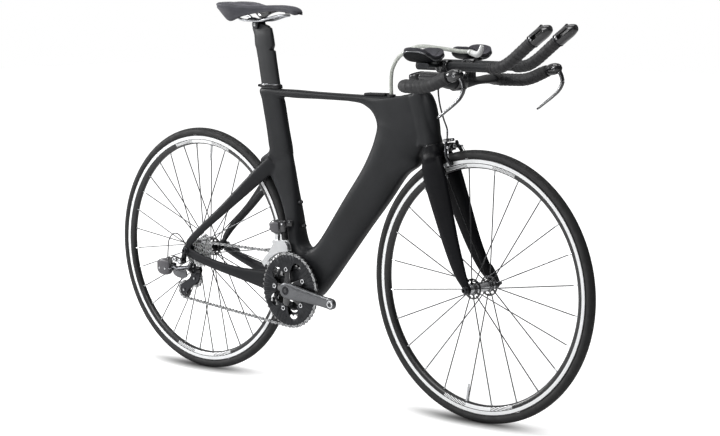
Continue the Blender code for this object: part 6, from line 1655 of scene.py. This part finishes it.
def belt(pitch):
    """The chain's centre line round the four wheels, as straight runs and arcs: its points, their
    distances along it and the wheels, each with its centre, radius, way round and y."""
    wheels = [
        (CRANK_CENTRE, pitch_radius(OUTER_TEETH, pitch), 1, OUTER_RING_Y),
        (TENSION_PULLEY, pitch_radius(PULLEY_TEETH, pitch), 1, CASSETTE_CHAIN_Y),
        (GUIDE_PULLEY, pitch_radius(PULLEY_TEETH, pitch), -1, CASSETTE_CHAIN_Y),
        ((0.0, WHEEL_RADIUS), pitch_radius(CHAIN_TEETH, pitch), 1, CASSETTE_CHAIN_Y),
    ]
    leave, arrive = [], []
    for (a, ra, sa, _), (b, rb, sb, _) in zip(wheels, wheels[1:] + wheels[:1]):
        dx, dz = b[0] - a[0], b[1] - a[1]
        run = math.atan2(dz, dx) + math.asin((sb * rb - sa * ra) / math.hypot(dx, dz))
        leave.append(run + sa * math.pi / 2)
        arrive.append(run + sb * math.pi / 2)
    arrive = arrive[-1:] + arrive[:-1]
    path = []
    for (centre, radius, sign, y), start, end in zip(wheels, arrive, leave):
        sweep = (end - start) * -sign % TURN
        turn = start - sign * np.linspace(0, sweep, ARC_POINTS)
        x, z = centre[0] + radius * np.cos(turn), centre[1] + radius * np.sin(turn)
        path.append(np.column_stack([x, np.full(ARC_POINTS, y), z]))
    line = np.vstack(path + [path[0][:1]])
    step = np.linalg.norm(np.diff(line, axis=0), axis=1)
    return line, np.concatenate([[0], np.cumsum(step)]), wheels


def chain_rollers():
    """The rollers' places, as an even number a pitch apart, the wheels, and where the chain bends.
    part numbers each roller's run: 0 on the chainring, 1 below it, 2 on the two pulleys, 3 between
    the upper pulley and the cassette and 4 from there on. ends are the places between which the
    runs 1 and 3 go over to the cage, each from its fixed end."""
    pitch = CHAIN_PITCH
    for _ in range(6):
        line, length, wheels = belt(pitch)
        count = 2 * round(length[-1] / CHAIN_PITCH / 2)
        pitch = length[-1] / count
    at = np.arange(count) * pitch
    places = np.column_stack([np.interp(at, length, line[:, k]) for k in range(3)])
    ring, tension = ARC_POINTS - 1, ARC_POINTS
    guide, cassette = 3 * ARC_POINTS - 1, 3 * ARC_POINTS
    part = np.searchsorted(length[[ring, tension, guide, cassette]], at)
    bend = line[ring] + (line[tension] - line[ring]) * LOWER_RUN_BEND
    return places, wheels, part, ((bend, line[tension]), (line[cassette], line[guide]))


def phase_at(places, centre, radius):
    """The turn of the roller that lies nearest the middle of a wheel's wrap."""
    away = places[:, [0, 2]] - centre
    near = np.abs(np.linalg.norm(away, axis=1) - radius) < 0.6
    turns = np.arctan2(away[near][:, 1], away[near][:, 0])
    return turns[len(turns) // 2] if len(turns) else 0.0


def repeated(template, places, turns, tilts=None):
    """A shape at many places, each turned in the bicycle's plane: x = a cos - b sin, z = a sin + b cos."""
    points, faces, wrap = template["points"], template["faces"], template["wrap"]
    c, s = np.cos(turns)[:, None], np.sin(turns)[:, None]
    x = points[None, :, 0] * c - points[None, :, 2] * s
    z = points[None, :, 0] * s + points[None, :, 2] * c
    y = np.broadcast_to(points[None, :, 1], x.shape)
    if tilts is not None:
        y = y + points[None, :, 0] * tilts[:, None]
    grid = np.stack([x, y, z], -1) + places[:, None]
    sizes = len(points)
    made = [[v + k * sizes for v in face] for k in range(len(places)) for face in faces]
    return {"points": grid.reshape(-1, 3), "faces": made, "wrap": np.tile(wrap, (len(places), 1))}


def link_plate(pitch, y, wall, radius, waist):
    """A chain's side plate: two round ends joined by a waist, as one outline a pitch long."""
    t = np.linspace(math.radians(48), math.radians(312), 9)
    left = np.column_stack([-pitch / 2 + radius * np.cos(t), radius * np.sin(t)])
    right = np.column_stack([pitch / 2 - radius * np.cos(t), -radius * np.sin(t)])
    outline = np.vstack([left, [(0, -waist)], right, [(0, waist)]])
    return plate(outline, y, wall)


def make_chain():
    """Plates, rollers and pins in four runs: one on the frame, one on the cage and one between each."""
    places, wheels, part, ends = chain_rollers()
    ahead = np.roll(places, -1, 0) - places
    middle = places + ahead / 2
    turns = np.arctan2(ahead[:, 2], ahead[:, 0])
    reach = np.linalg.norm(ahead[:, [0, 2]], axis=1)
    tilts = ahead[:, 1] / reach
    pitch = float(np.median(reach))
    outer = together([link_plate(pitch, y, 0.85, 4.1, 2.0) for y in (-2.35, 2.35)])
    inner = together([link_plate(pitch, y, 0.85, 4.2, 2.2) for y in (-1.45, 1.45)])
    barrel = rod((0, -1.05, 0), (0, 1.05, 0), 3.5, 10)
    pin = rod((0, -3.0, 0), (0, 3.0, 0), 1.6, 8)
    count = np.arange(len(places))
    cage = "rear_derailleur_cage"
    lower, short = (("rear_derailleur_knuckle", cage, *end) for end in ends)
    runs = (("", "frame"), ("_lower", lower), ("_cage", cage), ("_short", short))
    for number, (run, body) in enumerate(runs):
        here = part % len(runs) == number
        outer_at, inner_at = (here & (count % 2 == k) for k in (0, 1))
        plates = repeated(outer, middle[outer_at], turns[outer_at], tilts[outer_at])
        piece(f"chain_outer_plates{run}", plates, body, CHAIN_STEEL, [] if number else ["chain"])
        plates = repeated(inner, middle[inner_at], turns[inner_at], tilts[inner_at])
        piece(f"chain_inner_plates{run}", plates, body, CHAIN_DARK)
        piece(f"chain_rollers{run}", repeated(barrel, places[here], turns[here]), body, CHAIN_DARK)
        piece(f"chain_pins{run}", repeated(pin, places[here], turns[here]), body, PIN_DARK)
    return places, wheels


def make_pulleys(places, wheels):
    """Two toothed wheels, turned so that their teeth lie between the chain's rollers."""
    for node, (centre, radius, _, y) in (("tension_pulley", wheels[1]), ("guide_pulley", wheels[2])):
        phase = phase_at(places, centre, radius) + math.pi / PULLEY_TEETH
        edge = toothed(PULLEY_TEETH, phase + math.pi / PULLEY_TEETH, 0.6, 3.6)
        rim = ring_plate(edge, steady(11.5), centre, y, 2.2, 0.3, PULLEY_TEETH * 12)
        hub = [(3.2, -1.7), (7.2, -1.7), (7.6, -1.2), (7.6, 1.2), (7.2, 1.7), (3.2, 1.7)]
        hub = lathe(hub, (centre[0], y, centre[1]), steps=40)
        webs = []
        for k in range(5):
            turn = TURN * k / 5 + 0.3
            c, s = math.cos(turn), math.sin(turn)
            web = [(centre[0] + r * c, y, centre[1] + r * s, w, 0.9)
                for r, w in ((7, 1.9), (9.3, 1.4), (12, 2.1))]
            webs.append(tube(web, 6, 10, ACROSS, 0.5))
        piece(f"{node}_wheel", [rim, hub, *webs], node, BLACK_RUBBER, [node], angle=50)


def arc(centre, radius, start, end):
    t = np.radians(np.linspace(start, end, 14))
    return np.column_stack([centre[0] + radius * np.cos(t), centre[1] + radius * np.sin(t)])


def make_rear_derailleur():
    """The cage with its bolts, the body with motor and ears, the link, the knuckle and the lead."""
    outer = np.vstack([arc(CAGE_PIVOT, 9, -30, 130), [(6, 268), (0, 260), (-22, 246), (-44, 232)],
        arc(TENSION_PULLEY, 12, 170, 330), [(0, 233), (26, 248), (33, 262)]])
    inner = np.vstack([arc(CAGE_PIVOT, 9, -30, 130), [(8, 272), (-2, 264)], [(-30, 244)],
        arc(TENSION_PULLEY, 9, 150, 330), [(2, 236), (24, 252)]])
    cage = [plate(outer, -53.3, 1.7), plate(inner, -44.1, 1.7)]
    for x, z in (GUIDE_PULLEY, TENSION_PULLEY):
        cage.append(rod((x, -54.9, z), (x, -42.6, z), 3.0, 24, edge=0.4))
        cage.append(rod((x, -55.6, z), (x, -54.0, z), 4.6, 28, edge=0.5))
    pivot = (CAGE_PIVOT_X, 0, CAGE_PIVOT_Z)
    cage.append(rod(np.add(pivot, (0, -65.2, 0)), np.add(pivot, (0, -52.6, 0)), 5, 28))
    piece("derailleur_cage_plates", cage, "rear_derailleur_cage", DARK_METAL,
        ["rear_derailleur_cage"], 0.35)
    bolts = [bolt((x, -55.5, z), (0, -1, 0), 2.9, 1.3) for x, z in (GUIDE_PULLEY, TENSION_PULLEY)]
    piece("pulley_bolts", bolts, "rear_derailleur_cage", STEEL)
    motor = [(-104, -80, 284, 6, 12), (-101, -80, 284, 8.4, 16.4), (-90, -80, 283.4, 10.6, 21.4),
        (-78, -80, 283, 11.2, 22.8)]
    motor += [(-66, -80, 283, 10.8, 21.6), (-58, -80, 283, 9.2, 17.6), (-54, -80, 283, 6.8, 12.6)]
    boss = lathe([(4, -72.9), (9.4, -72.9), (9.9, -73.6), (9.9, -84.6), (9, -85.7), (4, -85.7)],
        (HANGER_X, 0, HANGER_Z))
    arm = tube([(-14, -79.4, 306, 5.2, 7.2), (-35, -79.4, 308.6, 5.4, 8),
        (-52, -79.6, 307.6, 5.6, 9), (-62, -80, 294, 6.6, 11)], 40, 24)
    moulded("derailleur_body", [arm, boss], "frame", GLOSS, ["rear_derailleur_mount"], 1.3, 5)
    piece("derailleur_motor", tube(motor, 50, 32, power=0.5), "frame", MOTOR_GREY)
    washer = lathe([(3.4, 0), (6.4, 0), (6.8, 0.6), (6.2, 2.0), (3.4, 2.0)], (-35, -84.2, 307.7),
        (0, -1, 0), 40)
    piece("derailleur_washer", washer, "frame", BRIGHT)
    piece("derailleur_washer_pin", bolt((-35, -83.4, 307.7), (0, -1, 0), 3.5, 1.6), "frame", PIN_DARK)
    skirt = [(-38, -83.5, 278, 2.6, 7.0), (-33, -83.8, 276, 3.2, 11.5),
        (-16, -84, 271.5, 3.4, 12.5), (2, -82, 271, 3.2, 11.5)]
    skirt += [(10, -80.5, 272.5, 2.6, 8.5)]
    piece("derailleur_link_cover", tube(skirt, 30, 28, power=0.7), "rear_derailleur_link", CRANK_GREY)
    ears = []
    axis = np.array((0, math.sin(0.6), math.cos(0.6)))
    rear_pin = np.array((-44, -80, 286.0))
    for k in (-1, 1):
        ear = rear_pin + axis * k * 7.4
        ears.append(rod(ear, ear + axis * k * 3.8, 5.6, 28, edge=0.5))
        start = ear + axis * k * 1.9 + (-17, 0, 0)
        ears.append(tube([(*start, 3.6, 1.5), (*(ear + axis * k * 1.9), 4.3, 1.6)], 8, 16, axis, 0.6))
    ears.append(rod(rear_pin - axis * 11, rear_pin + axis * 11, 2.2, 16))
    piece("derailleur_ears", ears, "frame", DARK_METAL)
    bolts = [bolt((HANGER_X, -85.4, HANGER_Z), (0, -1, 0), 6.0, 2.0)]
    bolts += [bolt((x, y, 279), (0, -1, 0), 2.6, 1.2) for x, y in ((-90, -90.4), (-68, -90.2))]
    piece("derailleur_body_bolts", bolts, "frame", BRIGHT)
    refined("rear_derailleur_link", DARK_METAL, 0.9, 3)
    refined("rear_derailleur_knuckle", GLOSS, 0.8, 3)
    cover = lathe([(3, -69.0), (10.8, -69.0), (10.6, -70.2), (9.2, -70.9), (3, -71.0)], pivot)
    piece("knuckle_cover", cover, "rear_derailleur_knuckle", DARK_METAL)
    path = [(-1, -73.9, 352), (-8, -78, 366), (-24, -80, 379), (-44, -81, 377), (-59, -82, 358),
        (-62, -82.5, 334)]
    path += [(-64, -82.5, 308)]
    piece("derailleur_lead", cable(path, 1.6, 110, 12), "frame", HOUSING, ["rear_derailleur_cable"])


def make_front_derailleur():
    """The motor on its bracket beside the seat tube, and the cage over the chain."""
    body = tube([(306, -39, 424, 8, 14), (310, -39, 426, 9.8, 18.6), (322, -39, 426, 10, 19.4),
        (333, -38.6, 428, 9.6, 18)], 30, 28, power=0.55)
    wing = tube([(330, -38.5, 429, 7.6, 17), (344, -38.2, 430, 7.4, 16.6),
        (350, -38, 430, 6.4, 15)], 20, 28, power=0.55)
    bracket = tube([(346, -34, 436, 3.4, 8), (356, -31, 438, 3.2, 9), (362, -27, 438, 3.0, 9)], 14,
        24, power=0.6)
    moulded("shifter_motor", [body, wing, bracket], "frame", GLOSS, ["front_derailleur_body"], 1.3, 4)
    cover = tube([(303.5, -41, 424, 7.8, 11), (306, -41.5, 425, 9.4, 14.6),
        (322, -41.5, 426, 9.6, 15.4), (331, -41, 427, 8.4, 13)], 30, 28, power=0.45)
    piece("shifter_motor_cover", cover, "frame", MOTOR_GREY)
    bolts = [bolt((322, -48.6, 436), (0, -1, 0), 2.7, 1.3), bolt((341, -45.6, 436), (0, -1, 0), 2.7, 1.3)]
    bolts += [bolt((355, -33.8, 442), (0, -1, 0), 3.4, 1.6)]
    piece("shifter_motor_bolts", bolts, "frame", BRIGHT)
    refined("front_derailleur_cage", CAGE_BRIGHT, 0.5, 2)


def make_drivetrain():
    places, wheels = make_chain()
    outer = phase_at(places, CRANK_CENTRE, wheels[0][1])
    make_rings(outer + math.pi / OUTER_TEETH)
    make_cranks()
    make_cassette(phase_at(places, wheels[3][0], wheels[3][1]) + math.pi / CHAIN_TEETH)
    make_pulleys(places, wheels)
    make_rear_derailleur()
    make_front_derailleur()


# Camera, floor and light


def make_camera():
    """The photo's camera, from the fit to both wheels."""
    az, el = math.radians(41.93), math.radians(7.58)
    data = bpy.data.cameras.new("photo_camera")
    data.lens = 91.585
    data.sensor_width = 36
    data.clip_end = 60
    camera = placed("photo_camera", data)
    camera.location = (3.1918, -3.4519, 1.0859)
    look = Vector((-math.sin(az) * math.cos(el), math.cos(az) * math.cos(el), -math.sin(el)))
    camera.rotation_euler = look.to_track_quat("-Z", "Y").to_euler()
    bpy.context.scene.camera = camera


def floor_finish():
    """A white floor that keeps the object's shadow. What the camera sees of it also glows, so that it
    ends in the same white as the background, but under the two tyres the glow fades out and the floor's
    colour is darkened towards 0.16 in a painted contact shadow."""
    made = Finish("studio_floor", (0.9, 0.9, 0.9), 0.9)
    made.set("Specular IOR Level", 0.1)
    noise = made.node("ShaderNodeTexNoise", Scale=3)
    shade = made.mix(noise.outputs["Fac"], (0.9, 0.9, 0.9), (0.92, 0.92, 0.92))
    where = made.node("ShaderNodeTexCoord").outputs["Object"]
    strength = graded(made.tree, made.length(where), 1.0, 3.0, 0.5, 0.85).outputs["Result"]
    # Under each tyre an ellipse fades out the glow and darkens the floor's colour: a painted contact
    # shadow.
    for x in (-WHEELBASE / 2, WHEELBASE / 2):
        near = made.node("ShaderNodeMapping", Vector=where)
        near.vector_type = "TEXTURE"
        near.inputs["Location"].default_value = (x * METRES - 0.03, 0, 0)
        near.inputs["Scale"].default_value = (0.28, 0.08, 1)
        painted_shadow_fade = graded(made.tree, made.length(near.outputs["Vector"]), 0.05, 1.0, 0.0, 1.0)
        painted_shadow_fade.interpolation_type = "SMOOTHSTEP"
        strength = made.sum("MULTIPLY", strength, painted_shadow_fade.outputs["Result"])
        # The floor's colour goes down to 0.16 at each contact: painted shadow.
        shade = made.mix(painted_shadow_fade.outputs["Result"], (0.16, 0.16, 0.16), shade)
    made.colour(shade)
    seen = made.node("ShaderNodeLightPath").outputs["Is Camera Ray"]
    made.set("Emission Color", (1, 1, 1, 1))
    made.join(made.sum("MULTIPLY", seen, strength), made.shader.inputs["Emission Strength"])
    return made.look


def make_stage():
    mesh = bpy.data.meshes.new("floor")
    size, level = 14.0, -0.0006
    corners = [(x * size, y * size, level) for x, y in ((-1, -1), (1, -1), (1, 1), (-1, 1))]
    mesh.from_pydata(corners, [], [(0, 1, 2, 3)])
    floor = placed("floor", mesh)
    floor.data.materials.append(floor_finish())


def lamp(name, place, target, size, power):
    data = bpy.data.lights.new(name, "AREA")
    data.shape = "RECTANGLE"
    data.size, data.size_y = size
    data.energy = power
    obj = placed(name, data)
    obj.location = place
    obj.rotation_euler = (Vector(target) - Vector(place)).to_track_quat("-Z", "Y").to_euler()


def make_light():
    """Three lamps, and a world whose light is strongest from behind the bicycle. The camera sees the
    world as plain white."""
    world = bpy.data.worlds.new("studio")
    bpy.context.scene.world = world
    world.use_nodes = True
    nodes, link = world.node_tree.nodes, world.node_tree.links.new
    back, plain = nodes["Background"], nodes.new("ShaderNodeBackground")
    for source in (back, plain):
        source.inputs["Color"].default_value = (1, 1, 1, 1)
    place = nodes.new("ShaderNodeTexCoord")
    parts = nodes.new("ShaderNodeSeparateXYZ")
    link(place.outputs["Generated"], parts.inputs[0])
    softer = graded(world.node_tree, parts.outputs["X"], -1.0, 1.0, 0.64, 0.05)
    link(softer.outputs["Result"], back.inputs["Strength"])
    path = nodes.new("ShaderNodeLightPath")
    either = nodes.new("ShaderNodeMath")
    either.operation = "MAXIMUM"
    link(path.outputs["Is Camera Ray"], either.inputs[0])
    link(path.outputs["Is Transmission Ray"], either.inputs[1])
    blend = nodes.new("ShaderNodeMixShader")
    for number, source in enumerate((either, back, plain)):
        link(source.outputs[0], blend.inputs[number])
    link(blend.outputs[0], nodes["World Output"].inputs["Surface"])
    lamp("key", (-0.8, -3.6, 2.8), (-0.1, 0, 0.5), (2.2, 1.6), 72)
    lamp("rear_side", (-3.3, -1.7, 1.7), (-0.2, 0, 0.4), (0.8, 0.8), 75)
    lamp("overhead", (0.0, -0.2, 4.0), (0, 0, 0.5), (3.0, 1.6), 60)
    bpy.context.scene.view_settings.view_transform = "Standard"


def build():
    make_camera()
    make_stage()
    make_light()
    make_frame()
    make_frame_trim()
    make_collar()
    make_seatpost()
    make_saddle()
    make_saddle_clamp()
    make_fork()
    make_base_bar()
    make_stem()
    for side, name in SIDES:
        make_extension(side, name)
        make_pod(side, name)
        make_extension_clamp(side, name)
        make_arm_rest(side, name)
        make_levers(side, name)
    make_hose()
    make_front_cable()
    make_brakes()
    for end in HUB:
        make_tyre(end)
        make_rim(end)
        make_spokes(end)
    make_hubs()
    make_drivetrain()


build()
